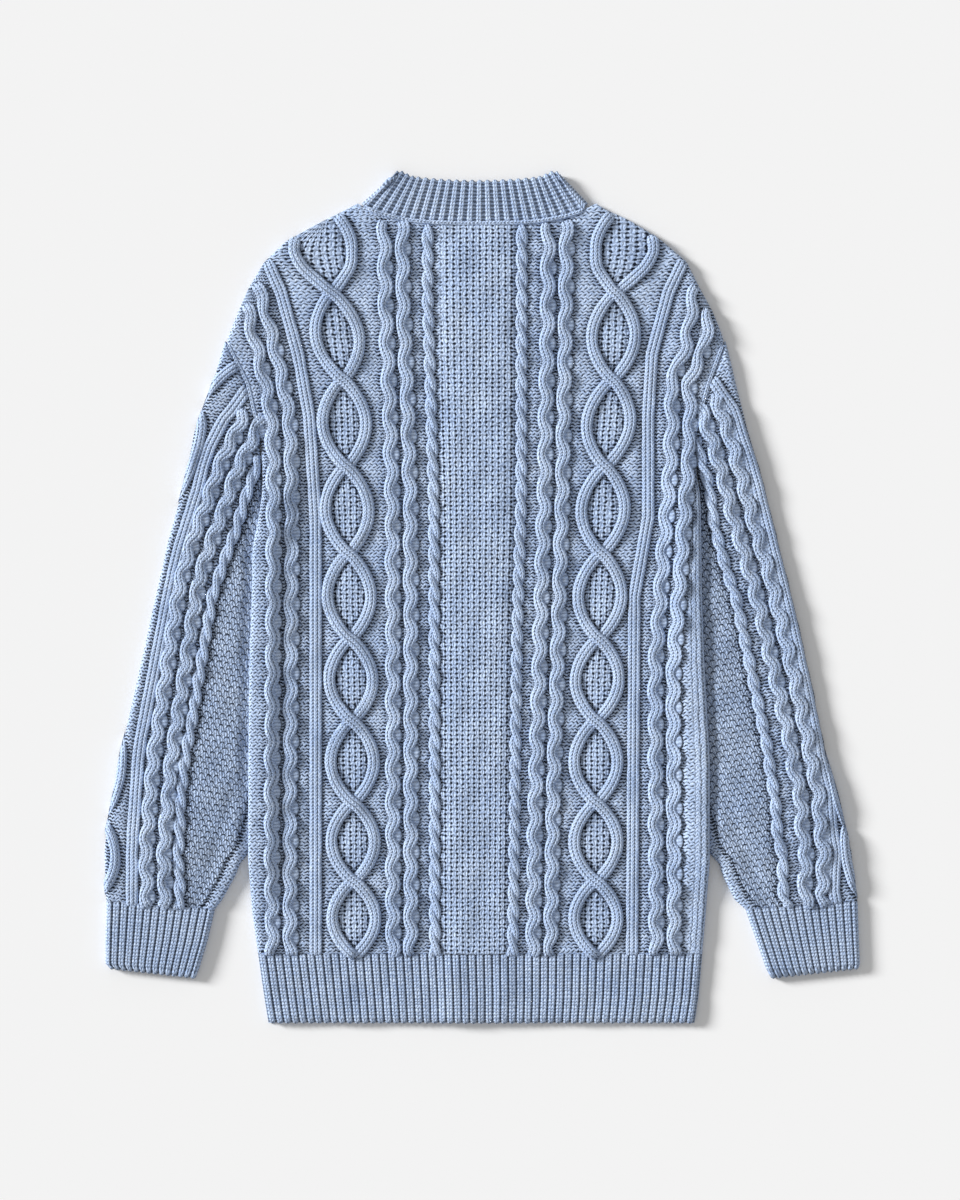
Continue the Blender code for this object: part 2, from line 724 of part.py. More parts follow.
def collar_back(part, z, drop):
    """A line across the back of the collar at a share of its width."""
    (low_left, low_right), (high_left, high_right) = [
        [fold_point(side, COLLAR_RIB_START, end)[0] for side in (-1, 1)] for end in (0.0, 1.0)]
    x_seam = low_left + part * (low_right - low_left)
    x_free = high_left + part * (high_right - high_left)
    beside = 2.0 * abs(part - 0.5)
    y_free = COLLAR_EDGE + COLLAR_EDGE_RISE * beside ** COLLAR_EDGE_BEND
    return collar_line((x_seam, neck_seam(x_seam) + GAP), (x_free, y_free), z, z - drop)


def collar_half(side):
    """Columns of the hidden front part and of the fold: outer ones, then the plain inner ones."""
    angles = NECK_ANGLES[::-1]
    outer = [collar_front(side, angle, 0.0) for angle in angles]
    bends = ((COLLAR_BEND, 0.0), (0.0, 1.5), (0.0, BACK_TOP - 1.7), (COLLAR_BEND, BACK_TOP - 0.4))
    outer += [collar_fold(side, inset, z) for inset, z in bends]
    inner = [collar_front(side, angle, WALL) for angle in angles]
    inner += [collar_fold(side, COLLAR_HOLLOW, z) for z in (WALL, BACK_INSIDE)]
    return outer, inner


def make_collar():
    outer, inner = collar_half(-1)
    outer += [collar_back(part, BACK_TOP + z, COLLAR_EDGE_DROP)
              for part, z in rib_places(COLLAR_RIBS)]
    inner += [collar_back(part, BACK_INSIDE, 0.0) for part in (0.2, 0.4, 0.6, 0.8)]
    for lines, half in zip((outer, inner), collar_half(1)):
        lines += half[::-1]
    fold = len(NECK_ANGLES)
    left = [(0, 0), (fold, fold), (fold + 3, fold + 1)]
    right = [(len(outer) - 1 - a, len(inner) - 1 - b) for a, b in left[::-1]]
    return wall(*[[list(row) for row in zip(*lines)] for lines in (outer, inner)], left + right)


# ---------------------------------------------------------------- sleeves and cuffs


def flat_ring(start, end, places, reliefs, height, bend):
    """The top of a flat tube from its outer fold to its inner one."""
    width = hypot(end[0] - start[0], end[1] - start[1])
    line = []
    for place, relief in zip(places, reliefs):
        x = start[0] + (end[0] - start[0]) * place + bend(place)
        y = start[1] + (end[1] - start[1]) * place
        full = height(x, y, place)
        inset = min(place, 1.0 - place) * width
        z = edge_round(inset, FOLD_SHARE * full, full)
        line.append((x, y, z + relief * smooth(share(inset, 1.0, 7.0))))
    return line


def cloth_height(x, y, side):
    """Thickness of a sleeve, less where the body lies on it, and the wall there."""
    outside = side * (x - body_edge(y, side))
    beside = smooth(share(outside, TUCK_START, TUCK_START + TUCK_REACH))
    open_share = 1.0 - read(BODY, "lift", y) * (1.0 - beside)
    thin = 2.0 * TUCKED + TUCKED_HOLLOW
    return thin + (SLEEVE_TOP - thin) * open_share, open_share


def armhole_bend(side):
    """How far the armhole seam bends in from a straight line, and the share of it down to there."""
    name = SIDE_NAME[side]
    peak = (SHOULDER_TIP - ARMHOLE_BEND) / (SHOULDER_TIP - UNDERARM)
    top, foot = read(OUTER_FOLD, name, SHOULDER_TIP), read(INNER_FOLD, name, UNDERARM)
    return abs(top + (foot - top) * peak - body_edge(ARMHOLE_BEND, side)) - SEAM, peak


def make_sleeve(side):
    bulge, peak = armhole_bend(side)
    relief_table = SLEEVE_RELIEF[side]
    name = SIDE_NAME[side]
    foot_outer, foot_inner = OUTER_FOLD["y"][0], INNER_FOLD["y"][0]
    rings, inner_rings = [], []
    for number in range(SLEEVE_HALF_WAVES + 1):
        along = number / SLEEVE_HALF_WAVES
        y0 = SHOULDER_TIP + (foot_outer - SHOULDER_TIP) * along
        y1 = UNDERARM + (foot_inner - UNDERARM) * along
        start, end = (read(OUTER_FOLD, name, y0), y0), (read(INNER_FOLD, name, y1), y1)
        width = hypot(end[0] - start[0], end[1] - start[1])
        fading = max(0.0, 1.0 - along / ARMHOLE_FADE)

        slant = 1.0 / abs(end[0] - start[0])
        under_body = max(0.0, side * (body_edge(y1, side) - end[0])) + TUCK_START
        tuck = [1.0 - (under_body + TUCK_REACH) * slant, 1.0 - under_body * slant]

        def bend(place):
            rise = place / peak if place < peak else (1.0 - place) / (1.0 - peak)
            return -side * bulge * rise * fading

        def puff(place):
            swell = sin(pi * share(along, PUFF_START, 1.0))
            return SLEEVE_PUFF * swell * sin(pi * place)

        def height(x, y, place):
            return cloth_height(x, y, side)[0] + puff(place)

        columns = [(0.0, 0.0), (ROUND_BEND / width, 0.0), (ROUND / width, 0.0)]
        for band, relief in (("ridge", ridge_relief()), ("pair", pair_relief(number / 2.0)),
                             ("rope", rope_relief())):
            middle = read(relief_table, band, along)
            columns += [(middle + dx / width, dz) for dx, dz in relief]
        columns += [(place, 0.0) for place in tuck]
        columns += [(1.0 - ROUND / width, 0.0), (1.0 - ROUND_BEND / width, 0.0), (1.0, 0.0)]
        places = spread([column[0] for column in columns], SMALL_STEP / width)
        top = flat_ring(start, end, places, [column[1] for column in columns], height, bend)
        under = []
        for place in (0.0, UNDER_ROUND / width, SLEEVE_CREASE, 1.0 - UNDER_ROUND / width, 1.0):
            x = start[0] + (end[0] - start[0]) * place + bend(place)
            under.append((x, start[1] + (end[1] - start[1]) * place, 0.0))
        rings.append((top, under))
        if number % SLEEVE_INSIDE_STEP:
            continue
        upper, lower = [], []
        stations = spread([INSIDE_FOLD / width, 0.2, SLEEVE_CREASE, 0.62, *tuck,
                           1.0 - INSIDE_FOLD / width], BIG_STEP / width)
        for place in stations:
            x = start[0] + (end[0] - start[0]) * place + bend(place)
            y = start[1] + (end[1] - start[1]) * place
            full, opened = cloth_height(x, y, side)
            ceiling = full - (TUCKED + (WALL - TUCKED) * opened)
            floor = TUCKED + (SLEEVE_UNDER - TUCKED) * opened
            at_fold = place in (stations[0], stations[-1])
            level = (ceiling + floor) / 2.0
            upper.append((x, y, level if at_fold else ceiling + puff(place)))
            lower.append((x, y, floor))
        inner_rings.append((upper, lower))
    return tube(rings, inner_rings)


def make_cuff(side):
    name = SIDE_NAME[side]
    rings, inner_rings = [], []
    rows = list(zip(CUFF["y_outer"], CUFF["y_inner"], CUFF[name + "_outer"], CUFF[name + "_inner"]))
    for number, (y0, y1, x0, x1) in enumerate(rows[::-1]):
        start, end = (x0, y0), (x1, y1)
        width = hypot(x1 - x0, y1 - y0)
        drop = CUFF_EDGE_DROP if number == len(rows) - 1 else 0.0
        columns = [(0.0, 0.0), (ROUND_BEND / width, 0.0)]
        clear = ROUND / width
        columns += [(clear + part * (1.0 - 2.0 * clear), z) for part, z in rib_places(CUFF_RIBS)]
        columns += [(1.0 - ROUND_BEND / width, 0.0), (1.0, 0.0)]
        places = [column[0] for column in columns]
        top = flat_ring(start, end, places, [column[1] for column in columns],
                        lambda x, y, place: SLEEVE_TOP - drop, lambda place: 0.0)
        under = []
        for place in (0.0, UNDER_ROUND / width, *CUFF_STATIONS, 1.0 - UNDER_ROUND / width, 1.0):
            under.append((x0 + (x1 - x0) * place, y0 + (y1 - y0) * place, 0.0))
        rings.append((top, under))
        upper, lower = [], []
        stations = (INSIDE_FOLD / width, *CUFF_STATIONS, 1.0 - INSIDE_FOLD / width)
        for place in stations:
            x, y = x0 + (x1 - x0) * place, y0 + (y1 - y0) * place
            at_fold = place in (stations[0], stations[-1])
            upper.append((x, y, SLEEVE_UNDER + (HOLLOW / 2.0 if at_fold else CUFF_HOLLOW)))
            lower.append((x, y, SLEEVE_UNDER))
        inner_rings.append((upper, lower))
    return tube(rings, inner_rings)


# ---------------------------------------------------------------- bands and buttons


def button_heights():
    step = (BUTTON_HIGH - BUTTON_LOW) / (BUTTONS - 1)
    return [BUTTON_LOW + step * number for number in range(BUTTONS)]


def add_box(builder, low, high):
    made = bmesh.ops.create_cube(builder, size=1.0)
    sizes = [b - a for a, b in zip(low, high)]
    bmesh.ops.scale(builder, vec=sizes, verts=made["verts"])
    bmesh.ops.translate(builder, vec=[(a + b) / 2.0 for a, b in zip(low, high)],
                        verts=made["verts"])


def add_disc(builder, radius, thick, y, base):
    made = bmesh.ops.create_cone(builder, cap_ends=True, segments=BUTTON_SIDES, radius1=radius,
                                 radius2=radius, depth=thick)
    bmesh.ops.translate(builder, vec=(MIDDLE, y, base + thick / 2.0), verts=made["verts"])


def make_band(base, thick):
    builder = bmesh.new()
    add_box(builder, (MIDDLE - BAND_HALF, HEM_FOOT, base),
            (MIDDLE + BAND_HALF, BAND_HEAD, base + thick))
    return builder


def make_button(y):
    builder = bmesh.new()
    add_disc(builder, BUTTON_RADIUS, BUTTON_THICK, y, 0.0)
    return builder


def make_recesses():
    """The hollows that the buttons press into the outer band."""
    builder = bmesh.new()
    for y in button_heights():
        add_disc(builder, BUTTON_RADIUS + RECESS_CLEAR, BUTTON_THICK + RECESS_CLEAR + BELOW, y,
                 -BELOW)
    return builder


def main():
    clear_scene()
    parts, helpers = new_collection(PARTS), new_collection(HELPERS)

    def knit(name, builder):
        return add_object(name, builder, parts, KNIT_COLOUR, YARN_ROUGHNESS)

    def ribbed(name, builder):
        return add_object(name, builder, parts, RIB_COLOUR, YARN_ROUGHNESS)

    knit("back", make_back())
    ribbed("hem_back", make_back_hem())
    ribbed("collar", make_collar())
    for side, name in SIDE_NAME.items():
        knit("front_" + name, make_front(side))
        knit("sleeve_" + name, make_sleeve(side))
        ribbed("cuff_" + name, make_cuff(side))
        ribbed("hem_front_" + name, make_front_hem(side))

    ribbed("band_left", make_band(WALL + GAP, BAND_OVER))
    outer_band = ribbed("band_right", make_band(0.0, WALL))
    recesses = add_object("button_recesses", make_recesses(), helpers, RIB_COLOUR, YARN_ROUGHNESS)
    recesses.hide_render = True
    recesses.display_type = "WIRE"
    cut = outer_band.modifiers.new("button_recesses", "BOOLEAN")
    cut.operation = "DIFFERENCE"
    cut.solver = "EXACT"
    cut.object = recesses
    for number, y in enumerate(button_heights(), start=1):
        add_object(f"button_{number}", make_button(y), parts, BUTTON_COLOUR, BUTTON_ROUGHNESS)


main()
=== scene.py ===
"""Looks of a cable knit cardigan that lies flat on its front, with the back up.

Sizes are in millimetres and become metres when a mesh is made. The tables of the cut and of the
cables say where each band of the knitting runs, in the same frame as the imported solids.
"""

import bmesh
import bpy
import numpy as np
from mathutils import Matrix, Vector
from mathutils.kdtree import KDTree


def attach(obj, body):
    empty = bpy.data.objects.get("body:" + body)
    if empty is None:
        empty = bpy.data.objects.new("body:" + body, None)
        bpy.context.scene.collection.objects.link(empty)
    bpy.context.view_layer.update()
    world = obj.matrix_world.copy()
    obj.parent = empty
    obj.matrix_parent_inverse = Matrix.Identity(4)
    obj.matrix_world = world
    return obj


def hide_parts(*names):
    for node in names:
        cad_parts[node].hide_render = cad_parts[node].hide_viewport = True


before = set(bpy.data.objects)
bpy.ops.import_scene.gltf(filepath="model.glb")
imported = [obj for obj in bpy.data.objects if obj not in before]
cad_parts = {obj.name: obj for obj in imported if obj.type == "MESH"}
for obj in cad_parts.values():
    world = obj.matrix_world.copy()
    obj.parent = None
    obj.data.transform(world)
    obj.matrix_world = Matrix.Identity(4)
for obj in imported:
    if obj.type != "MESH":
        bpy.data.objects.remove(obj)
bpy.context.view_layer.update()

MM = 0.001
TAU = 2.0 * np.pi

# Layers of the cloth over the surface, as in the solids.
WALL, GAP, SEAM = 3.0, 0.3, 0.8
BACK_TOP = 6.3
SLEEVE_TOP, TUCKED_TOP = 6.7, 4.4
SIDE_LIFT, LIFT_FLAT, LIFT_END = 5.0, 17.0, 31.0
TUCK_START, TUCK_REACH = 1.5, 10.0
ROUND, FOLD_BUMP = 3.8, 1.0

# Relief of the knitting over its plain ground.
CABLE_HEIGHT, RIDGE_HEIGHT, ROPE_HEIGHT, MOSS_HEIGHT = 3.8, 1.8, 2.6, 0.7
STRAND_HALF, RIDGE_HALF, ROPE_HALF = 5.4, 5.6, 3.1
PAIR_REACH, PAIR_SWING, WIDTH_SWING = 7.4, 2.1, 0.23
ROPE_REPEAT, ROPE_SWING, ROPE_RISE, ROPE_SET = 17.5, 2.4, 1.15, 0.55
HOLLOW_DEPTH, PLAIN_WIDE, PLAIN_RISE = 0.5, 12.5, 0.5
OVAL_HALF, FIRST_OVAL = 18.0, 24.0
MOSS_HALF = 31.0
WAVE_TOP, WAVE_PITCH, WAVE_SHORTENS = 273.0, 31.6, 0.135
OUTER_WAVE_LEAD = 9.0
CROSSINGS = (252, 180, 108, 36, -35, -103, -171, -236)
ABOVE_FIRST, BELOW_LAST = 74.0, 62.0

# The cut.
MIDDLE, RUN_ON = -3.3, 2.5
HEM_TOP, HEM_FOOT = -297.0, -354.0
NECK_BACK, NECK_RISE, NECK_HALF, NECK_BEND, NECK_CORNER = 309.5, 17.0, 101.0, 3.2, 326.5
ROWS_LEVEL = 283.0
FRONT_NECK_TOP, FRONT_NECK_DEPTH = 326.0, 80.0
# Where the bands of relief start, before the cloth's edge cuts them, and where they end.
OUTER_TOP, INNER_TOP, LATTICE_TOP, RIDGE_TOP, ROPE_TOP = 268.0, 312.0, 318.0, 284.0, 308.5
BANDS_FOOT = HEM_TOP - RUN_ON
COLLAR_FREE_TOP, COLLAR_FREE_DEPTH, COLLAR_FREE_REACH = 353.0, 77.0, 50.0
COLLAR_EDGE, COLLAR_EDGE_RISE, COLLAR_EDGE_BEND = 345.3, 5.3, 2.2
COLLAR_FOLD = {-1: ((-100.0, 326.5), (-73.0, 350.8)), 1: ((88.0, 326.5), (65.0, 350.8))}
COLLAR_HUMPS, HUMP_RISE, HUMP_REACH = (-67.0, 58.0), 2.8, 6.0
BAND_HALF, BAND_HEAD, BAND_OVER = 15.0, 276.0, 1.5
LAP_RISE, LAP_HALF, LAP_SLOPE = 1.8, 16.7, 22.0
UNDERARM, ARMHOLE_BEND, SHOULDER_TIP = 130.0, 177.0, 212.0
HEM_RIBS, COLLAR_RIBS, CUFF_RIBS, BAND_RIBS = 54, 23, 13, 5
FOLD_RADIUS, FOLD_RIBS, CORNER_ROLL, LOWEST = 3.2, 1.4, 1.8, 0.1
BUTTON_LOW, BUTTON_STEP, BUTTONS, BUTTON_RADIUS, BUTTON_THICK = -331.0, 118.0, 6, 9.0, 2.0
RIM_WIDE, DISH, EDGE_ROUND = 1.2, 0.5, 0.3
STUD_OFF, STUD_RADIUS, STUD_FLAT = 1.5, 0.8, 0.3
SIDES = {-1: "left", 1: "right"}


def table(names, *rows):
    """Columns of a short table by name; the first is the place that the others are read at."""
    return {name: np.array(column) for name, column in zip(names.split(), zip(*rows))}


def read(columns, name, place):
    """A column of a table at a place; a side's number stands for its name."""
    return np.interp(place, next(iter(columns.values())), columns[SIDES.get(name, name)])


BODY = table(
    "y left right lift folded",
    (-354, -177.5, 176.5, 0, 1), (-332, -181, 180, 0, 1), (-297, -186, 183, 0, 1),
    (-262, -191, 186, 0, 1), (-218, -194, 189, 1, 1), (-136, -194, 189, 1, 1),
    (-55, -193, 184.5, 1, 1), (0, -191, 182.5, 1, 1), (40, -190.5, 182, 1, 1),
    (68, -185, 181.5, 1, 1), (84, -182.5, 181, 1, 1), (98, -182, 178.5, 0.72, 0.8),
    (130, -184, 175.5, 0, 0), (177, -195, 188.5, 0, 0), (212, -212.5, 201.5, 0, 0),
    (236, -203, 192, 0, 1), (256, -194, 181, 0, 1), (278, -181, 170, 0, 1), (296, -162, 149, 0, 1),
    (312, -132, 123.5, 0, 1), (322, -112, 101.5, 0, 1), (326.5, -103.5, 95, 0, 1),
)
OUTER_FOLD = table(
    "y left right",
    (-253, -312, 312), (-242, -313, 309.5), (-212, -313.5, 307), (-192, -312, 301.5),
    (-162, -305.5, 294.5), (-132, -300.5, 285.5), (-72, -287, 273.5), (-13, -274, 260.5),
    (47, -260.5, 245.5), (97, -246.5, 233), (137, -239, 221), (176, -224, 211),
    (212, -213.5, 202.5),
)
INNER_FOLD = table(
    "y left right",
    (-260, -222, 219), (-252, -216, 210), (-232, -205, 200), (-222, -201, 197),
    (-215, -195.5, 190.5), (-205, -190.5, 185), (-180, -183.5, 178), (-136, -179.5, 174),
    (-60, -178.5, 169.5), (-10, -177, 168), (40, -180, 172), (60, -182, 178), (84, -183.4, 181.9),
    (98, -182.9, 179.4), (130, -184.8, 176.3),
)
CUFF = table(
    "along y_outer y_inner left_outer left_inner right_outer right_inner",
    (0, -253.4, -260.4, -312, -222, 312, 219), (0.5, -282, -286, -312.8, -228, 313, 228),
    (0.93, -305, -309, -313, -235, 314, 236), (1, -309, -317, -309.5, -238, 313, 240),
)

# The middle of each band of relief on the back.
OUTER_PAIR = table(
    "y left right",
    (-297, -167, 151.5), (-170, -167.5, 151), (-60, -166.5, 150.5), (30, -166, 157),
    (110, -166, 163), (150, -168, 165), (177, -173, 163.5), (209, -180.5, 177), (240, -188, 181),
    (268, -198, 187),
)
RIDGE = table(
    "y left right",
    (-297, -138, 124.5), (0, -138, 126.5), (66, -138, 138), (150, -143.5, 138), (201, -152.5, 141),
    (253, -167, 155), (278, -178, 167),
)
LATTICE = table(
    "y left right",
    (-297, -106, 94.5), (-103, -108, 94.5), (36, -111, 99), (108, -113, 102), (180, -115.5, 108),
    (252, -124.5, 110.5), (286, -132, 118.5),
)
INNER_PAIR = table(
    "y left right",
    (-297, -67, 49), (-169, -67, 51), (-36, -67, 55), (80, -67.5, 58.5), (163, -70, 60),
    (246, -73.5, 61.5), (296, -74, 62),
)
ROPE = table(
    "y left right",
    (-297, -39, 25.5), (-36, -39.5, 29), (80, -40, 32.5), (246, -45, 33),
)

# The same bands on a sleeve, as shares of its width from the outer fold.
SLEEVE_RELIEF = {
    -1: table(
        "along ridge pair rope",
        (0, 0.45, 0.7, 1.05), (0.1, 0.245, 0.505, 0.84), (0.2, 0.16, 0.385, 0.68),
        (0.3, 0.128, 0.302, 0.56), (0.4, 0.105, 0.252, 0.474), (0.7, 0.116, 0.279, 0.441),
        (0.8, 0.148, 0.304, 0.453), (0.9, 0.205, 0.363, 0.535), (1, 0.239, 0.449, 0.67),
    ),
    1: table(
        "along ridge pair rope",
        (0, 0.367, 0.553, 0.96), (0.1, 0.137, 0.436, 0.853), (0.2, 0.075, 0.342, 0.675),
        (0.4, 0.06, 0.234, 0.489), (0.7, 0.046, 0.184, 0.419), (0.8, 0.055, 0.2, 0.438),
        (0.9, 0.115, 0.276, 0.512), (1, 0.196, 0.375, 0.618),
    ),
}
SLEEVE_WAVE = 24.4
SLEEVE_PUFF, PUFF_REACH, SEAM_DIP = 2.4, (100.0, 256.0), 1.8
ARMHOLE_FADE = 0.35
STRIP_WIDE, STRIP_REACH = 11.0, (0.66, 0.78)
# Strands of the lattice that show beside a sleeve's outer fold: points from top to foot.
SLEEVE_ARCS = {
    -1: (
        ((-200, 194), (-211.8, 186.5), (-221, 178), (-229, 168), (-236.5, 157), (-244, 147)),
        ((-243, 166), (-236, 156), (-232.6, 147), (-232.6, 139), (-235, 126), (-239.2, 113),
         (-243.8, 100), (-250.5, 88), (-259, 77)),
        ((-304, -104), (-300.5, -118), (-298.5, -134), (-300, -150), (-304.5, -165), (-311.5, -178),
         (-320, -188)),
        ((-321, -181), (-311.2, -191), (-305.8, -203), (-303.7, -217), (-305.8, -229.5),
         (-312, -240.5), (-321, -250)),
    ),
    1: (
        ((291, -124), (289, -136), (290, -148), (293, -162), (297, -176), (302, -188), (308, -198),
         (315, -206)),
        ((310, -176), (303.5, -188), (300.5, -200), (301.5, -214), (304.5, -228), (309, -240),
         (316, -251)),
    ),
}
ARC_WIDTH, ARC_SET, ARC_SINK = 0.85, 0.9, 4.5
SLEEVE_LEAN = 0.155

# Soft troughs and ridges pressed into the cloth: both ends, width and depth (a ridge is negative).
CREASES = (
    (6.6, -140, 3, -352, 15, 1), (-24, -180, -20, -345, 18, -0.5), (-128, 110, -128, -110, 11, 0.6),
    (84, 60, 80, -150, 16, 0.7), (-150, 290, -122, 215, 16, -0.7), (110, 290, 150, 205, 18, 0.6),
    (-205, 150, -190, 40, 12, 0.8), (172, -80, 168, -260, 14, 0.6),
    (-206, -160, -232, -250, 6, 1.3), (196, -150, 238, -262, 6, 1.3),
    (-244, 60, -262, -60, 12, -0.6), (226, 90, 246, -60, 14, 0.8),
)
SWELLS = ((0.021, 0.013, 0.4, 0.30), (-0.015, 0.027, 1.9, 0.25), (0.046, -0.009, 3.1, 0.16),
          (0.011, 0.052, 5.2, 0.14))


# ---- heights and folds


def share(value, start, end):
    """How far a value is from start to end, held between 0 and 1."""
    return np.clip((value - start) / (end - start), 0.0, 1.0)


def smooth(amount):
    return amount * amount * (3.0 - 2.0 * amount)


def body_edge(y, side):
    return read(BODY, side, y)


def lift(x, y):
    """Rise of the body's sides over the sleeves that are tucked below them."""
    inset = np.minimum(x - body_edge(y, -1), body_edge(y, 1) - x)
    return SIDE_LIFT * read(BODY, "lift", y) * (1.0 - share(inset, LIFT_FLAT, LIFT_END))


def lap(x, y):
    """Rise of the back over the two lapped bands."""
    beside = share(abs(x - MIDDLE), LAP_HALF, LAP_HALF + LAP_SLOPE)
    return LAP_RISE * (1.0 - smooth(beside)) * share(-y, -NECK_BACK, -ROWS_LEVEL)


def creased(x, y):
    """Unevenness of the cloth: slow swells, and the creases of the table."""
    rise = sum(a * np.sin(TAU * (kx * x + ky * y) + turn) for kx, ky, turn, a in SWELLS)
    for x0, y0, x1, y1, width, depth in CREASES:
        dx, dy = x1 - x0, y1 - y0
        long = np.hypot(dx, dy)
        along = ((x - x0) * dx + (y - y0) * dy) / long
        across = ((x - x0) * dy - (y - y0) * dx) / long
        ends = smooth(share(along, -0.25 * long, 0.2 * long))
        ends = ends * smooth(share(-along, -1.25 * long, -0.8 * long))
        rise = rise - depth * ends * np.exp(-(across / width) ** 2)
    return rise


def neck_seam(x):
    return NECK_BACK + NECK_RISE * (abs(x - MIDDLE) / NECK_HALF) ** NECK_BEND


def waves(y):
    """How many waves of a cable lie between its first bend and a height."""
    inside = WAVE_PITCH ** 2 - 4.0 * WAVE_SHORTENS * (WAVE_TOP - y)
    return (WAVE_PITCH - np.sqrt(inside)) / (2.0 * WAVE_SHORTENS)


def oval_count(y):
    """Whole numbers are the lattice's crossings, counted up from the hem."""
    heights = CROSSINGS[::-1]
    places = (heights[0] - BELOW_LAST, *heights, heights[-1] + ABOVE_FIRST)
    return np.interp(y, places, range(len(places)))


def oval_half(y):
    """Half the width between the strands of a lattice."""
    first = share(y, CROSSINGS[0], CROSSINGS[0] + 20.0)
    widest = OVAL_HALF + (FIRST_OVAL - OVAL_HALF) * first
    return widest * abs(np.sin(np.pi * oval_count(y))) ** 0.8


def back_surface(x, y):
    """Height of the back's plain ground."""
    return BACK_TOP + lift(x, y) + lap(x, y) + creased(x, y)


def fold_drop(inset):
    """How far a layer of full thickness falls away at its folded edge."""
    turned = 1.0 - share(inset, 0.0, ROUND)
    return 1.0 - np.sqrt(1.0 - turned ** 2)


def over_back(x, y):
    left, right = body_edge(y, -1), body_edge(y, 1)
    x = np.clip(x, left - FOLD_BUMP, right + FOLD_BUMP)
    drop = 0.5 * BACK_TOP * fold_drop(np.minimum(x - left, right - x)) * read(BODY, "folded", y)
    return x_y_z(x, y, back_surface(x, y) - drop)


def x_y_z(x, y, z):
    return np.stack(np.broadcast_arrays(x, y, z), axis=-1)


# ---- meshes


def face_out(builder, up):
    """Turns every face to the outside, which is up (1), down (-1) or all round (0)."""
    bmesh.ops.recalc_face_normals(builder, faces=builder.faces)
    if up:
        outside = up * sum(face.normal.z * face.calc_area() for face in builder.faces)
    else:
        outside = builder.calc_volume(signed=True)
    if outside < 0.0:
        bmesh.ops.reverse_faces(builder, faces=builder.faces)


def add_object(name, data):
    made = bpy.data.objects.new(name, data)
    bpy.context.scene.collection.objects.link(made)
    return made


def add_mesh(name, builder, finish):
    """Makes an object of one finish from a builder, and frees the builder."""
    mesh = bpy.data.meshes.new(name)
    builder.to_mesh(mesh)
    builder.free()
    mesh.materials.append(finish)
    return add_object(name, mesh)


def finish_mesh(name, builder, points, finish, uv, marks=None, up=0, wall=0.0):
    """A piece from a builder: its points in millimetres, pattern coordinates and marks."""
    for vertex, point in zip(builder.verts, np.asarray(points) * MM):
        vertex.co = point
    face_out(builder, up)
    piece = add_mesh(name, builder, finish)
    mesh = piece.data
    layer = mesh.uv_layers.new(name="pattern")
    corner = np.empty(len(mesh.loops), dtype=np.int32)
    mesh.loops.foreach_get("vertex_index", corner)
    layer.data.foreach_set("uv", np.stack(uv, axis=-1).astype(np.float32)[corner].ravel())
    for mark, values in (marks or {}).items():
        attribute = mesh.attributes.new(mark, "FLOAT", "POINT")
        attribute.data.foreach_set("value", np.asarray(values, dtype=np.float32))
    mesh.shade_smooth()
    if wall:
        thick = piece.modifiers.new("wall", "SOLIDIFY")
        thick.thickness = wall * MM
        thick.offset = -1.0
    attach(piece, "root")
    return piece


def joined(parts):
    """One builder from several: each part is added in turn, and its points stay in order."""
    whole = bmesh.new()
    for part in parts:
        mesh = bpy.data.meshes.new("part")
        part.to_mesh(mesh)
        part.free()
        whole.from_mesh(mesh)
        bpy.data.meshes.remove(mesh)
    return whole


def cloth(columns, rows):
    """A grid, and the place of each of its vertices, from 0 to 1 both ways."""
    builder = bmesh.new()
    bmesh.ops.create_grid(builder, x_segments=columns, y_segments=rows, size=0.5)
    places = np.array([vertex.co[:2] for vertex in builder.verts]) + 0.5
    return builder, *np.clip(places, 0.0, 1.0).T


def rod(sides, steps):
    """A closed rod of many rings, and each vertex's ring and side."""
    builder = bmesh.new()
    bmesh.ops.create_cone(builder, cap_ends=True, segments=sides, radius1=1.0, radius2=1.0,
                          depth=1.0)
    upright = [edge for edge in builder.edges if abs(edge.verts[0].co.z - edge.verts[1].co.z) > 0.5]
    bmesh.ops.subdivide_edges(builder, edges=upright, cuts=steps - 2, use_grid_fill=True)
    places = np.array([vertex.co for vertex in builder.verts])
    ring = np.rint((places[:, 2] + 0.5) * (steps - 1)).astype(int)
    turn = (np.arctan2(places[:, 1], places[:, 0]) / TAU - 0.25) * sides
    return builder, ring, np.rint(turn).astype(int) % sides


def tube(sides, steps):
    """A rod without its ends: how far along it each vertex is, from 0 to 1, and its side."""
    builder, ring, side = rod(sides, steps)
    caps = [face for face in builder.faces if len(face.verts) > 4]
    bmesh.ops.delete(builder, geom=caps, context="FACES_ONLY")
    return builder, ring / (steps - 1), side


def humps(count, dip, shoulder=0.42):
    """Section of a strand of several wales: shares of its half width and of its height."""
    across = np.linspace(-1.0, 1.0, 4 * count + 3)
    height = (1.0 - abs(across) ** 2.4) ** shoulder
    valley = abs(np.cos(0.5 * np.pi * count * (across + 1.0)))
    if count > 1:
        inner = abs(across) < 1.0 - 1.0 / count
        height = height - dip * np.where(inner, 1.0, 0.3) * (valley ** 6)
    height[0] = height[-1] = 0.0
    return (np.concatenate([across, [0.7, -0.7]]),
            np.concatenate([height, [-0.2, -0.2]]))


CABLE_SECTION = humps(3, 0.13)
RIDGE_SECTION = humps(3, 0.30)
ROPE_SECTION = humps(2, 0.10)
CHAIN_SECTION = humps(1, 0.0)


def level_path(p, q):
    """A path of the usual width that keeps to the surface."""
    return p, q, np.zeros_like(p), np.ones_like(p)


def length_along(p, q):
    return np.concatenate([[0.0], np.cumsum(np.hypot(np.diff(p), np.diff(q)))])


def evenly(p, q, step):
    """A line with even steps, and the length up to each of its points."""
    length = length_along(p, q)
    even = np.arange(0.0, length[-1], step)
    return np.interp(even, length, p), np.interp(even, length, q), even


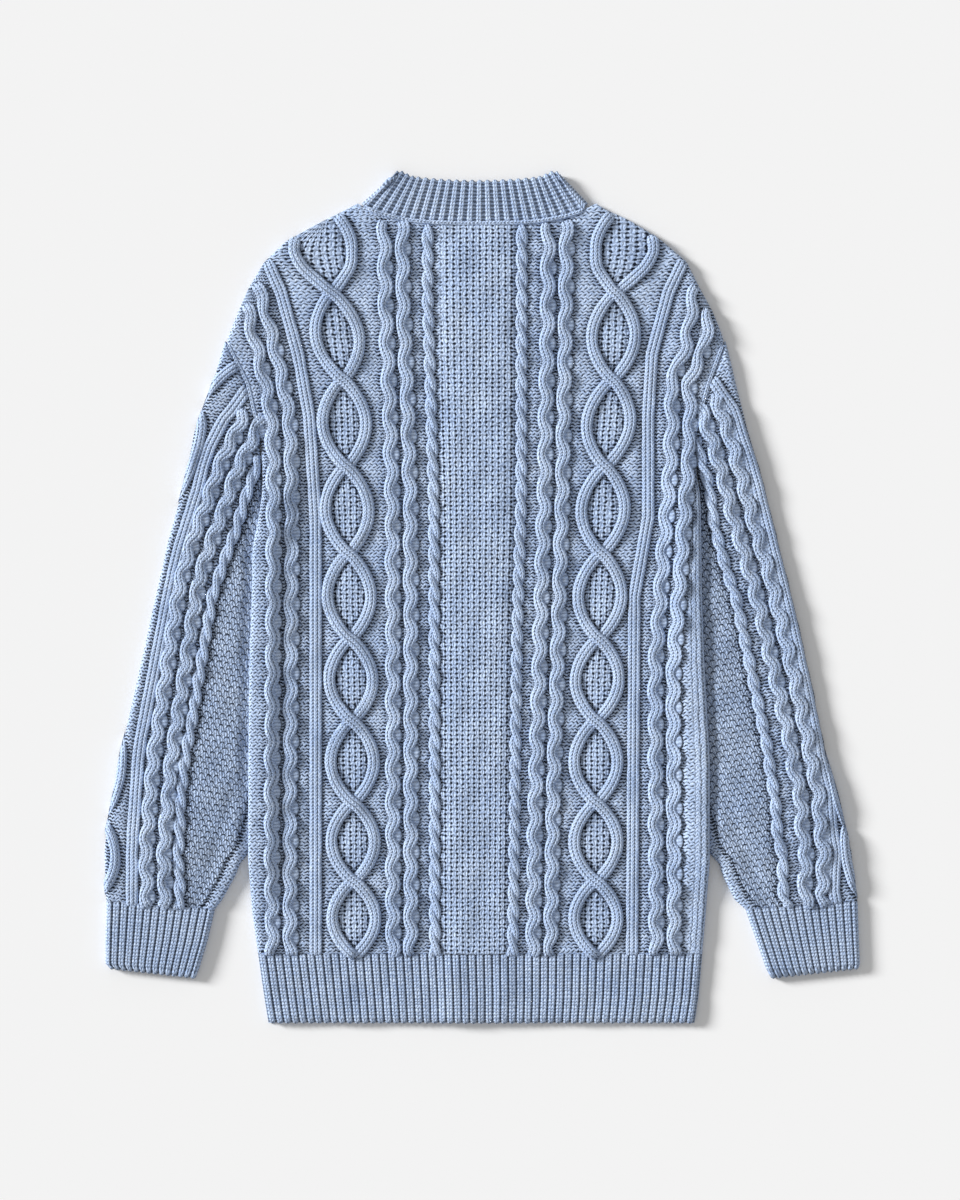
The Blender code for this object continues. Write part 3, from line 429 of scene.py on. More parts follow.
def soften(values, reach=3):
    """Running mean along a line, with both ends kept."""
    padded = np.pad(values, reach, mode="edge")
    return np.convolve(padded, np.full(2 * reach + 1, 1.0 / (2 * reach + 1)), mode="valid")


def strand(name, paths, section, half, height, surface, finish):
    """Raised strands on a surface, joined as one piece. A path is (p, q, rise, width) over its
    length, with its width as a share of the usual one."""
    across, profile = section
    parts, points, uv = [], [], []
    for p, q, rise, wide in paths:
        dp, dq = soften(np.gradient(p)), soften(np.gradient(q))
        long = np.hypot(dp, dq)
        length = length_along(p, q)
        part, ring, side = rod(len(across), len(p))
        parts.append(part)
        ends = smooth(np.minimum(1.0, np.minimum((1.0 + ring) / 4.0, (len(p) - ring) / 3.0)))
        uneven = 1.0 + 0.05 * np.sin(length[ring] / 7.3 + p[0]) + 0.04 * np.sin(length[ring] / 3.1)
        out = across[side] * half * wide[ring] * uneven * (0.6 + 0.4 * ends)
        raised = profile[side] > 0.0
        ground = surface(p[ring] + out * dq[ring] / long[ring], q[ring] - out * dp[ring] / long[ring])
        ground[:, 2] += profile[side] * height * np.where(raised, ends, 2.0)
        ground[:, 2] += np.where(raised, rise[ring], np.minimum(rise[ring], 0.0))
        ground[:, 2] = np.maximum(ground[:, 2], LOWEST)
        points.append(ground)
        uv.append((out, length[ring]))
    return finish_mesh(name, joined(parts), np.concatenate(points), finish, np.hstack(uv))


def lumps(name, places, sizes, surface, finish):
    """Small oval lumps on a surface, joined as one piece. A place is (p, q, turn)."""
    parts, points, uv = [], [], []
    for p, q, turn in places:
        part = bmesh.new()
        bmesh.ops.create_uvsphere(part, u_segments=12, v_segments=8, radius=1.0)
        parts.append(part)
        ball = np.array([vertex.co for vertex in part.verts])
        a, b = ball[:, 0] * sizes[0], ball[:, 2] * sizes[1]
        ground = surface(p + a * np.cos(turn) - b * np.sin(turn),
                         q + a * np.sin(turn) + b * np.cos(turn))
        ground[:, 2] += ball[:, 1] * sizes[2]
        points.append(ground)
        uv.append((np.hypot(ball[:, 0], ball[:, 2]), b + q))
    return finish_mesh(name, joined(parts), np.concatenate(points), finish, np.hstack(uv))


def nearness(x, y, paths, half, reach):
    """1 beside the edges of strands and below them, fading to 0 with a reach outside."""
    tree = KDTree(sum(len(path[0]) for path in paths))
    for path in paths:
        for p, q in zip(*path[:2]):
            tree.insert((p, q, 0.0), 0)
    tree.balance()
    off = np.array([tree.find((p, q, 0.0))[2] for p, q in zip(x, y)])
    return np.exp(-np.maximum(off - half, 0.0) / reach)


# ---- finishes


def colour(code):
    """Linear red, green, blue and alpha of an sRGB hex value."""
    parts = [int(code[i:i + 2], 16) / 255.0 for i in (1, 3, 5)]
    return [c / 12.92 if c <= 0.04045 else ((c + 0.055) / 1.055) ** 2.4 for c in parts] + [1.0]


def new_finish(name, surface):
    """A finish with settings of its surface, the function that adds a node, and the shader."""
    finish = bpy.data.materials.new(name)
    finish.use_nodes = True
    tree = finish.node_tree
    shader = tree.nodes["Principled BSDF"]
    for place, value in surface.items():
        shader.inputs[place].default_value = value

    def add(kind, *inputs, **settings):
        """Adds a node; inputs are values or links in order or by name, and the rest are its
        settings. A kind in capitals is an operation of arithmetic."""
        made = tree.nodes.new("ShaderNode" + ("Math" if kind.isupper() else kind))
        if kind.isupper():
            made.operation = kind
        for place, value in [*settings.items(), *enumerate(inputs)]:
            if place in settings and hasattr(made, place):
                setattr(made, place, value)
            elif isinstance(value, bpy.types.NodeSocket):
                tree.links.new(value, made.inputs[place])
            elif value is not None:
                made.inputs[place].default_value = value
        return made.outputs[0]

    return finish, add, shader


def real_place(add):
    """Place on the object in millimetres."""
    return add("Mapping", add("TexCoord").node.outputs["Object"], None, None, (1.0 / MM,) * 3)


# Yarn colours: light blue cotton, spun from pale and deeper blue fibres, and the dark of painted shade
# in the hollows between stitches.
YARN_LIGHT, YARN_MID, YARN_DEEP, HOLLOW_SHADE_PAINT = "#D8E7FD", "#BCD1F2", "#97B0DA", "#081426"
YARN_SURFACE = {"Roughness": 0.9, "IOR": 1.45, "Specular IOR Level": 0.2, "Sheen Weight": 0.2,
                "Sheen Roughness": 0.5, "Sheen Tint": colour("#D6E2F2")}
WALE, ROW = 3.65, 2.9             # a knit stitch
# The photo's ribs have rows of 2.0 to 2.3 mm; they are drawn coarser here, so that they show.
PURL_ROW, RIB_ROW = 2.75, 2.8
MOSS_WALE, MOSS_ROW = 4.8, 3.65   # a cell of the moss panel on the body
SCALE_WALE, SCALE_ROW = 6.4, 4.7  # a bump of the coarser moss stitch on the sleeves
SLACK = 3.4                       # how far the rows wander
# Below this height a stitch is darkened towards the painted shade of a hollow.
FULL_COLOUR = 0.69                # the height from which a stitch has its full colour


def wave_of(add, phase):
    """0 to 1 and back, once for each whole number of the phase."""
    return add("MULTIPLY_ADD", add("COSINE", add("MULTIPLY", phase, TAU)), 0.5, 0.5)


def ramp(add, value, start, end):
    """0 at start, 1 at end."""
    part = add("DIVIDE", add("SUBTRACT", value, start), end - start)
    return add("MINIMUM", add("MAXIMUM", part, 0.0), 1.0)


def mixed(add, first, second, amount):
    return add("MULTIPLY_ADD", add("SUBTRACT", second, first), amount, first)


def knit_height(add, u, v, wale, row, line=1.0, beads=0.46, lean=0.7):
    """Columns of V stitches: two leaning legs in each wale, with hollow lines between wales."""
    from_middle = add("ABSOLUTE", add("SUBTRACT", add("FRACT", add("DIVIDE", u, wale)), 0.5))
    a = add("MULTIPLY", from_middle, 2.0)
    leg = wave_of(add, add("MULTIPLY_ADD", a, lean, add("DIVIDE", v, row)))
    dots = add("MULTIPLY_ADD", leg, -0.35, 1.0)
    hollow = add("MULTIPLY", add("MULTIPLY", add("POWER", a, 3.0), dots), line)
    cleft = add("MULTIPLY", add("POWER", add("SUBTRACT", 1.0, a), 5.0), 0.25)
    body = add("SUBTRACT", add("SUBTRACT", 1.0, hollow), cleft)
    return add("MULTIPLY", body, add("MULTIPLY_ADD", leg, beads, 1.0 - beads))


def purl_height(add, u, v, wale, row):
    """Wavy threads in rows, with short staggered hollows between them."""
    bend = add("SINE", add("MULTIPLY", u, TAU / wale))
    place = add("MULTIPLY_ADD", bend, 0.17, add("DIVIDE", v, row))
    hollow = add("POWER", add("SUBTRACT", 1.0, wave_of(add, place)), 1.8)
    half = add("MULTIPLY", add("FLOOR", place), 0.5)
    short = add("MULTIPLY_ADD", wave_of(add, add("ADD", add("DIVIDE", u, wale), half)), 0.6, 0.4)
    return add("SUBTRACT", 1.0, add("MULTIPLY", hollow, short))


def moss_height(add, u, v, wale, row):
    """Cells that are knit and purl in turn, with a small hole at each corner."""
    cell_u, cell_v = add("DIVIDE", u, wale), add("DIVIDE", v, row)
    fu = add("SUBTRACT", add("FRACT", cell_u), 0.5)
    fv = add("SUBTRACT", add("FRACT", cell_v), 0.5)
    whole = add("ADD", add("FLOOR", cell_u), add("FLOOR", cell_v))
    odd = add("MULTIPLY", add("FRACT", add("MULTIPLY", whole, 0.5)), 2.0)
    to_side = add("SUBTRACT", 0.5, add("ABSOLUTE", fu))
    to_row = add("SUBTRACT", 0.5, add("ABSOLUTE", fv))
    away = add("SQRT", add("ADD", add("POWER", to_side, 2.0),
                             add("MULTIPLY", add("POWER", to_row, 2.0), 0.5)))
    legs = add("ABSOLUTE", add("SINE", add("MULTIPLY", fu, TAU)))
    knit = add("MULTIPLY_ADD", legs, 0.5, 0.5)
    arch = add("MULTIPLY_ADD", add("MULTIPLY", fu, fu), 2.2, fv)
    purl = add("MULTIPLY_ADD", wave_of(add, add("SUBTRACT", arch, 0.12)), 0.42, 0.38)
    return add("MULTIPLY", mixed(add, knit, purl, odd), ramp(add, away, 0.13, 0.27))


def scale_height(add, u, v, wale, row):
    """Staggered bumps, each rounded above and drawn in below, with a hollow line round them."""
    cell_v = add("DIVIDE", v, row)
    half = add("FRACT", add("MULTIPLY", add("FLOOR", cell_v), 0.5))
    fu = add("SUBTRACT", add("FRACT", add("ADD", add("DIVIDE", u, wale), half)), 0.5)
    bend = add("POWER", add("ABSOLUTE", add("MULTIPLY", fu, 2.0)), 2.2)
    arch = add("MULTIPLY_ADD", bend, -0.85, 0.95)
    above = add("SUBTRACT", arch, add("FRACT", cell_v))
    line = add("SUBTRACT", 1.0, ramp(add, add("ABSOLUTE", above), 0.06, 0.30))
    strength = add("MULTIPLY_ADD", bend, -0.5, 1.0)
    legs = wave_of(add, add("MULTIPLY_ADD", add("FRACT", cell_v), 0.3, add("MULTIPLY", fu, 3.0)))
    low = ramp(add, above, 0.95, 0.35)
    face = add("MULTIPLY", add("MULTIPLY_ADD", legs, 0.55, 0.45),
                add("MULTIPLY_ADD", low, 0.45, 0.55))
    return add("MULTIPLY", face, add("SUBTRACT", 1.0, add("MULTIPLY", line, strength)))


def yarn(name, pattern, relief=0.9, loose=0.0):
    """Soft heathered cotton yarn, knitted: matt, slightly fuzzy, with painted shade dark between its
    stitches.
    """
    finish, add, shader = new_finish(name, YARN_SURFACE)
    tree = finish.node_tree
    where = real_place(add)
    fleck, cloud, fibre, slack, sway = (
        add("TexNoise", where, None, scale, detail, rough, noise_dimensions=kind)
        for scale, detail, rough, kind in ((0.55, 2.0, 0.6, "3D"), (0.03, 1.0, 0.5, "3D"),
                                           (1.7, 2.0, 0.7, "3D"), (0.16, 2.0, 0.6, "3D"),
                                           (0.23, 2.0, 0.6, "4D")))
    split = add("SeparateXYZ", add("UVMap", uv_map="pattern")).node
    height = pattern(add, add("MULTIPLY_ADD", sway, loose, split.outputs[0]),
                     add("MULTIPLY_ADD", slack, SLACK, split.outputs[1]))

    tone = add("MULTIPLY_ADD", fleck, 0.55, add("MULTIPLY_ADD", cloud, 0.2,
               add("MULTIPLY", fibre, 0.35)))
    spun = add("ValToRGB", tone).node
    spun.color_ramp.elements[0].position, spun.color_ramp.elements[1].position = 0.38, 0.72
    spun.color_ramp.elements[0].color = colour(YARN_DEEP)
    spun.color_ramp.elements[1].color = colour(YARN_LIGHT)
    spun.color_ramp.elements.new(0.54).color = colour(YARN_MID)
    # Low heights of the pattern are darkened towards painted shade: hollows between stitches, and the
    # marked ground beside raised strands.
    hollow_shade = add("Mix", ramp(add, height, 0.0, FULL_COLOUR), *[None] * 5, colour(HOLLOW_SHADE_PAINT),
               spun.outputs[0], data_type="RGBA").node
    tree.links.new(hollow_shade.outputs[2], shader.inputs["Base Color"])
    bump = add("Bump", Strength=1.0, Distance=relief * MM,
               Height=add("MULTIPLY_ADD", fibre, 0.4, height))
    tree.links.new(bump, shader.inputs["Normal"])
    return finish


def mark_of(add, name):
    return add("Attribute", attribute_name=name).node.outputs["Fac"]


def ladder_and_shade(add, v):
    """Threads stretched across the hollows beside raised strands, with dark gaps between; the whole
    ground there is darkened as painted shade of the strands.
    """
    gaps = add("SUBTRACT", 1.0, wave_of(add, add("DIVIDE", v, PURL_ROW)))
    return add("MULTIPLY", mark_of(add, "hollow_shade"), add("MULTIPLY_ADD", gaps, 0.75, 0.2))


def ground_pattern(add, u, v):
    height = purl_height(add, u, v, WALE, PURL_ROW)
    height = mixed(add, height, moss_height(add, u, v, MOSS_WALE, MOSS_ROW), mark_of(add, "moss"))
    height = mixed(add, height, knit_height(add, u, v, WALE, ROW), mark_of(add, "plain"))
    return add("SUBTRACT", height, ladder_and_shade(add, v))


def sleeve_pattern(add, u, v):
    height = purl_height(add, u, v, WALE, PURL_ROW)
    scale = scale_height(add, u, v, SCALE_WALE, SCALE_ROW)
    height = mixed(add, height, scale, mark_of(add, "moss"))
    return add("SUBTRACT", height, ladder_and_shade(add, v))


def strand_pattern(half, wales, line):
    """Stitches of a raised strand; its sides fall away into a dotted dark edge, which is painted shade
    along the strand's sides.
    """
    wale = 2.0 * half / wales

    def pattern(add, u, v):
        stitches = knit_height(add, add("ADD", u, half), v, wale, ROW, line)
        # Painted shade along both sides of the strand, darkest at each row's stitch hole.
        side = ramp(add, add("DIVIDE", add("ABSOLUTE", u), half), 0.78, 1.0)
        dots = add("MULTIPLY_ADD", wave_of(add, add("DIVIDE", v, ROW)), 0.55, 0.3)
        return add("MULTIPLY", stitches, add("SUBTRACT", 1.0, add("MULTIPLY", side, dots)))

    return pattern


def lens_pattern(add, u, v):
    """Leaning stitches of a strand that goes under another, in rows with painted shade between them; u
    is 1 at its rim, which is painted dark as shade round it.
    """
    rows = add("MULTIPLY_ADD", wave_of(add, add("DIVIDE", v, ROW)), 0.32, 0.4)
    return add("MULTIPLY", rows, add("SUBTRACT", 1.0, ramp(add, u, 0.78, 0.98)))


def rib_pattern(half, low, high):
    """u counts ribs: two knit wales, then a purl hollow with rungs across it."""
    def pattern(add, u, v):
        within = add("SUBTRACT", add("FRACT", u), 0.5)
        knit = add("MULTIPLY", knit_height(add, within, v, half, RIB_ROW, 0.9, 0.66, 0.22), 1.3)
        rungs = add("MULTIPLY_ADD", wave_of(add, add("DIVIDE", v, RIB_ROW)), high - low, low)
        hollow = ramp(add, add("ABSOLUTE", within), half - 0.04, half + 0.03)
        return mixed(add, knit, rungs, hollow)

    return pattern


def plain_pattern(add, u, v):
    return knit_height(add, u, v, WALE, ROW)


cable_yarn = yarn("cotton_cable_stitch", strand_pattern(STRAND_HALF, 3.0, 0.95), relief=1.2)
ridge_yarn = yarn("cotton_ridge_stitch", strand_pattern(RIDGE_HALF, 3.0, 1.1), relief=1.0)
fine_yarn = yarn("cotton_rope_stitch", strand_pattern(ROPE_HALF, 2.0, 0.8), relief=1.0)
ground_yarn = yarn("cotton_purl_and_moss_stitch", ground_pattern, relief=1.1, loose=3.2)
sleeve_yarn = yarn("cotton_purl_and_scale_stitch", sleeve_pattern, relief=1.3, loose=4.0)
rib_yarn = yarn("cotton_rib_stitch", rib_pattern(0.41, 0.05, 0.35), relief=1.0, loose=0.1)
collar_yarn = yarn("cotton_collar_rib_stitch", rib_pattern(0.29, 0.15, 0.65), relief=0.9,
                   loose=0.1)
plain_yarn = yarn("cotton_stocking_stitch", plain_pattern, relief=0.7)
lens_yarn = yarn("cotton_crossed_stitch", lens_pattern, relief=0.8)


# ---- camera, light and floor

FRAME_HIGH = 996.0
FRAME_MIDDLE = (-1.66, -2.9)
LENS, FILM = 100.0, 36.0
WORLD_POWER, SUN_POWER, SUN_SPREAD, SUN_WAY = 0.44, 4.93, 15.0, (0.88, -0.34, -0.36)
FLOOR_WIDE, FLOOR_BELOW = 40.0, 0.2

camera_data = bpy.data.cameras.new("camera")
camera_data.sensor_fit = "VERTICAL"
camera_data.sensor_height = FILM
camera_data.lens = LENS
camera = add_object("camera", camera_data)
camera.location = (FRAME_MIDDLE[0] * MM, FRAME_MIDDLE[1] * MM,
                   (FRAME_HIGH * LENS / FILM + BACK_TOP) * MM)
bpy.context.scene.camera = camera

world = bpy.data.worlds.new("studio")
world.use_nodes = True
world.node_tree.nodes["Background"].inputs[0].default_value = (1.0, 1.0, 1.0, 1.0)
world.node_tree.nodes["Background"].inputs[1].default_value = WORLD_POWER
bpy.context.scene.world = world
bpy.context.scene.view_settings.view_transform = "Standard"

light = bpy.data.lights.new("key", "SUN")
light.energy = SUN_POWER
light.angle = np.radians(SUN_SPREAD)
lamp = add_object("key", light)
lamp.rotation_mode = "QUATERNION"
lamp.rotation_quaternion = Vector(SUN_WAY).to_track_quat("-Z", "Y")


def make_floor():
    """Matt white paper under the garment, wide enough to fill a low view."""
    builder = cloth(1, 1)[0]
    bmesh.ops.scale(builder, vec=(FLOOR_WIDE, FLOOR_WIDE, 1.0), verts=builder.verts)
    bmesh.ops.translate(builder, vec=(0.0, 0.0, -FLOOR_BELOW * MM), verts=builder.verts)
    paper = new_finish("matt_white_paper", {"Base Color": colour("#F3F3F3"), "Roughness": 0.95,
                                            "Specular IOR Level": 0.1})[0]
    add_mesh("floor", builder, paper)


make_floor()


# ---- back


def wale_coordinate(x, y_side):
    """Distance across the cloth that follows the bands of relief, row by row."""
    routes = (OUTER_PAIR, RIDGE, LATTICE, INNER_PAIR, ROPE)

    def places(y):
        left = [read(route, "left", y) for route in routes]
        right = [read(route, "right", y) for route in reversed(routes)]
        return [body_edge(y, -1), *left, MIDDLE, *right, body_edge(y, 1)]

    rest = places(0.0)
    result = np.empty_like(x)
    for y in np.unique(y_side):
        row = y_side == y
        result[row] = np.interp(x[row], np.maximum.accumulate(places(y)), rest)
    return result


FOLD_COLUMNS = 5


def folded_columns(u, columns):
    """Splits a grid's columns: turn of the fold (0 on the flat part) and share of the flat part."""
    number = np.rint(u * columns)
    flat = np.clip((number - FOLD_COLUMNS) / (columns - 2 * FOLD_COLUMNS), 0.0, 1.0)
    left = np.clip(1.0 - number / FOLD_COLUMNS, 0.0, 1.0)
    right = np.clip(1.0 - (columns - number) / FOLD_COLUMNS, 0.0, 1.0)
    return flat, left, right


def folded_place(left, right, flat, turn_left, turn_right, folded, radius):
    """x and the drop below the top, round the folds at both sides of a panel."""
    turn = np.maximum(turn_left, turn_right) * (0.28 + 0.5 * folded) * np.pi
    x = left + ROUND + flat * (right - left - 2.0 * ROUND)
    out = ROUND * np.sin(turn)
    x = np.where(turn_left > 0.0, left + ROUND - out, x)
    x = np.where(turn_right > 0.0, right - ROUND + out, x)
    opened = x + (ROUND * turn - out) * np.sign(turn_right - turn_left)
    return x, radius * (1.0 - np.cos(turn)), opened


def wave_path(route, side, hand, lead, top, foot, step=1.7):
    """One strand of a wave cable: hand -1 is its left strand and 1 its right one."""
    q = np.arange(top, foot, -step)
    swing = np.cos(TAU * waves(q - lead))
    middle = read(route, side, q) + hand * (PAIR_REACH + PAIR_SWING * swing)
    return middle, q, np.zeros_like(q), 1.0 + hand * WIDTH_SWING * swing


def rope_path(middle, q, phase, reach=ROPE_SWING):
    turn = TAU * (q / (2.0 * ROPE_REPEAT) + phase)
    return middle + reach * np.cos(turn), q, ROPE_RISE * np.sin(turn) - ROPE_SET, np.ones_like(q)


def lattice_paths(side, top, foot, step=1.8):
    """Both strands: they part round each oval, and the one going down to the right is on top."""
    q = np.arange(top, foot, -step)
    middle, half = read(LATTICE, side, q), oval_half(q)
    count = oval_count(q)
    hand = np.where(np.floor(count) % 2 == 0, 1.0, -1.0)
    near = np.exp(-((count - np.rint(count)) * 72.0 / 11.0) ** 2) * (half < 0.9 * OVAL_HALF)
    crossing = np.where(np.rint(count) % 2 == 0, 1.0, -1.0)
    same = np.ones_like(q)
    first = (middle - hand * half, q, near * np.where(crossing > 0, 1.7, -0.9), same)
    second = (middle + hand * half, q, near * np.where(crossing > 0, -0.9, 1.7), same)
    return [first, second]


def trim(path, keep):
    return tuple(part[keep] for part in path)


def from_first(path, inside):
    """A path from its first place inside the cloth on."""
    return trim(path, slice(np.argmax(inside), None))


def back_paths(side):
    """Paths of the raised strands on one half of the back, by kind."""
    def room(path):
        return side * (body_edge(path[1], side) - path[0])

    outer, inner = ([wave_path(route, side, hand, lead, top, BANDS_FOOT) for hand in (-1, 1)]
                    for route, lead, top in ((OUTER_PAIR, OUTER_WAVE_LEAD, OUTER_TOP),
                                             (INNER_PAIR, 0.0, INNER_TOP)))
    lattice = lattice_paths(side, LATTICE_TOP, BANDS_FOOT)
    q = np.arange(RIDGE_TOP, BANDS_FOOT, -2.0)
    ridge = level_path(read(RIDGE, side, q), q)
    q = np.arange(ROPE_TOP, BANDS_FOOT, -1.5)
    ropes = [rope_path(read(ROPE, side, q), q, phase) for phase in (0.0, 0.5)]
    return {
        "outer_wave_cable": [from_first(path, room(path) > 2.0) for path in outer],
        "inner_wave_cable": [from_first(path, path[1] < neck_seam(path[0]) - 1.0)
                             for path in inner],
        "lattice": [from_first(path, room(path) > 1.0) for path in lattice],
        "ridge": [from_first(ridge, room(ridge) > 2.0)],
        "rope": ropes,
    }


KINDS = {
    "outer_wave_cable": (CABLE_SECTION, STRAND_HALF, CABLE_HEIGHT, cable_yarn),
    "inner_wave_cable": (CABLE_SECTION, STRAND_HALF, CABLE_HEIGHT, cable_yarn),
    "lattice": (CABLE_SECTION, STRAND_HALF - 0.1, CABLE_HEIGHT - 0.4, cable_yarn),
    "ridge": (RIDGE_SECTION, RIDGE_HALF, RIDGE_HEIGHT, ridge_yarn),
    "rope": (ROPE_SECTION, ROPE_HALF, ROPE_HEIGHT, fine_yarn),
}


def make_strands(paths, surface, label):
    made = []
    for kind, (section, half, height, finish) in KINDS.items():
        if kind in paths:
            made.append(strand(label.format(kind), paths[kind], section, half, height, surface,
                               finish))
    return made


def hollow_and_shade_beside(x, y, paths, bends):
    """How far the ground sinks beside the raised strands and their bends; the same share paints shade
    into its colour there.
    """
    p, q = np.array(bends)[:, :2].T
    ovals = (np.concatenate([p, p, p]), np.concatenate([q, q + 3.0, q - 3.0]))
    hollow_shade = 0.7 * nearness(x, y, [ovals], OVAL[0] - 0.4, 0.9)
    for kind, group in paths.items():
        started = [trim(path, slice(3, None)) for path in group]
        hollow_shade = np.maximum(hollow_shade, nearness(x, y, started, KINDS[kind][1], 2.0))
    return hollow_shade


def wave_bends(top, foot, lead, half_wave):
    """Heights of the bends of a wave cable, on whole waves or half-way between them."""
    counts = np.arange(-2.0, 24.0) + half_wave
    heights = WAVE_TOP - WAVE_PITCH * counts + WAVE_SHORTENS * counts ** 2 + lead
    return [y for y in heights if foot < y < top]


OVAL = (4.4, 7.2, 1.7)
OVAL_LEFT, OVAL_RIGHT = -3.4, PAIR_REACH + 4.2


def back_bends(name):
    """Places of the small ovals where a crossing strand goes below, beside each bend."""
    places = []
    for route, lead, top in ((OUTER_PAIR, OUTER_WAVE_LEAD, 205.0), (INNER_PAIR, 0.0, 296.0)):
        for y in wave_bends(top, HEM_TOP + 8.0, lead, 0.0):
            places.append((read(route, name, y) + OVAL_LEFT, y, 0.1))
        for y in wave_bends(top, HEM_TOP + 8.0, lead, 0.5):
            places.append((read(route, name, y) + OVAL_RIGHT, y, 0.1))
    return places


def make_back(paths, bends):
    columns, rows = 168, 276
    builder, u, v = cloth(columns, rows)
    flat, turn_left, turn_right = folded_columns(u, columns)
    side_y = HEM_TOP + (NECK_CORNER - HEM_TOP) * v
    left, right = body_edge(side_y, -1), body_edge(side_y, 1)
    x, drop, opened = folded_place(left, right, flat, turn_left, turn_right,
                                   read(BODY, "folded", side_y), BACK_TOP / 2.0)
    top = NECK_BACK - GAP
    middle_y = np.where(side_y < ROWS_LEVEL, side_y, ROWS_LEVEL + (side_y - ROWS_LEVEL)
                        * (top - ROWS_LEVEL) / (NECK_CORNER - ROWS_LEVEL))
    half = np.where(x < MIDDLE, MIDDLE - left, right - MIDDLE)
    beside = np.clip(abs(x - MIDDLE) / half, 0.0, 1.0)
    y = middle_y + (side_y - middle_y) * beside ** NECK_BEND
    z = back_surface(x, y) - drop

    ovals = np.zeros_like(x)
    for side in SIDES.values():
        off = abs(x - read(LATTICE, side, y))
        ovals = np.maximum(ovals, (off < oval_half(y)) * (oval_half(y) > STRAND_HALF))
    centre = share(MOSS_HALF + 1.0 - abs(x - MIDDLE), 0.0, 1.5)
    moss = np.maximum(ovals, centre)
    plain = share(PLAIN_WIDE - (right - x), 0.0, 1.2) * share(y, -300.0, -290.0) * (y < UNDERARM)
    # The ground sinks beside the strands, and the same mark paints shade into its colour there.
    hollow_shade = np.maximum(*(hollow_and_shade_beside(x, y, paths[side], bends[side]) for side in SIDES))
    z = z + MOSS_HEIGHT * moss + PLAIN_RISE * plain - HOLLOW_DEPTH * hollow_shade
    z = np.maximum(z, LOWEST)
    within = np.clip(opened, left, right)
    uv = (wale_coordinate(within, side_y) + opened - within, y)
    return finish_mesh("back_ground", builder, x_y_z(x, y, z), ground_yarn, uv,
                       {"moss": moss, "plain": plain, "hollow_shade": hollow_shade}, up=1, wall=2.4)


def make_back_hem():
    fine, rows = 8, 14
    columns = HEM_RIBS * fine + 2 * FOLD_COLUMNS
    builder, u, v = cloth(columns, rows)
    flat, turn_left, turn_right = folded_columns(u, columns)
    y = HEM_FOOT + (HEM_TOP + GAP - HEM_FOOT) * v
    x, drop, _ = folded_place(body_edge(y, -1), body_edge(y, 1), flat, turn_left, turn_right,
                              1.0, BACK_TOP / 2.0)
    foot = share(6.0 - (y - HEM_FOOT), 0.0, 6.0) ** 2
    ribs = flat * HEM_RIBS + FOLD_RIBS * (turn_right - turn_left) + 0.5
    z = back_surface(x, y) - drop + rib_relief(ribs) - 1.6 * foot
    z = np.maximum(z, LOWEST)
    scallop = 0.7 * foot * np.cos(TAU * ribs)
    return finish_mesh("back_hem_rib", builder, x_y_z(x, y + scallop, z), rib_yarn, (ribs, y),
                       up=1, wall=2.2)


def rib_relief(count, groove=1.1, crown=0.4, wide=0.01):
    """Rounded ribs between narrow grooves: 0 is a groove and 0.5 the middle of a rib."""
    from_groove = 0.5 - abs(count - np.floor(count) - 0.5)
    return crown - (groove + crown) * (1.0 - smooth(share(from_groove, wide, wide + 0.13)))


def make_seams():
    """Lumpy linked rows along the neck and down both armholes."""
    p = np.arange(COLLAR_FOLD[-1][0][0] + 4.0, COLLAR_FOLD[1][0][0] - 3.0, 1.2)
    neck = (p, neck_seam(p) + 0.2, 0.35 * np.cos(TAU * p / WALE), np.ones_like(p))
    made = [strand("neck_linking", [neck], CHAIN_SECTION, 2.0, 1.5, over_back, fine_yarn)]
    for side, name in SIDES.items():
        q = np.arange(SHOULDER_TIP - 3.0, UNDERARM + 2.0, -1.5)
        arm = level_path(body_edge(q, side) - side * 0.3, q)
        made.append(strand("armhole_linking_" + name, [arm], CHAIN_SECTION, 1.7, 0.5, over_back,
                           fine_yarn))
    return made


paths = {side: back_paths(side) for side in SIDES}
bends = {side: back_bends(name) for side, name in SIDES.items()}
back = make_back(paths, bends)
on_back = make_seams()
for side, name in SIDES.items():
    on_back += make_strands(paths[side], over_back, "{}_" + name)
    on_back.append(lumps("bends_" + name, bends[side], OVAL, over_back, lens_yarn))
hem_back = make_back_hem()


# ---- sleeves


def sleeve_ends(side, along):
    """Both ends of a line across a sleeve: its outer fold and its inner one."""
    y0 = SHOULDER_TIP + (OUTER_FOLD["y"][0] - SHOULDER_TIP) * along
    y1 = UNDERARM + (INNER_FOLD["y"][0] - UNDERARM) * along
    return (read(OUTER_FOLD, side, y0), y0), (read(INNER_FOLD, side, y1), y1)


def sleeve_width(side, along):
    (x0, y0), (x1, y1) = sleeve_ends(side, along)
    return np.hypot(x1 - x0, y1 - y0)


def sleeve_place(side, along, place):
    """x and y of a place across a sleeve, bent along the armhole seam near its top."""
    (x0, y0), (x1, y1) = sleeve_ends(side, along)
    peak = (SHOULDER_TIP - ARMHOLE_BEND) / (SHOULDER_TIP - UNDERARM)
    top = read(OUTER_FOLD, side, SHOULDER_TIP)
    foot = read(INNER_FOLD, side, UNDERARM)
    bulge = abs(top + (foot - top) * peak - body_edge(ARMHOLE_BEND, side)) + SEAM
    rise = np.where(place < peak, place / peak, (1.0 - place) / (1.0 - peak))
    fading = np.maximum(0.0, 1.0 - along / ARMHOLE_FADE)
    x = x0 + (x1 - x0) * place - side * bulge * np.clip(rise, 0.0, 1.0) * fading
    return x, y0 + (y1 - y0) * place


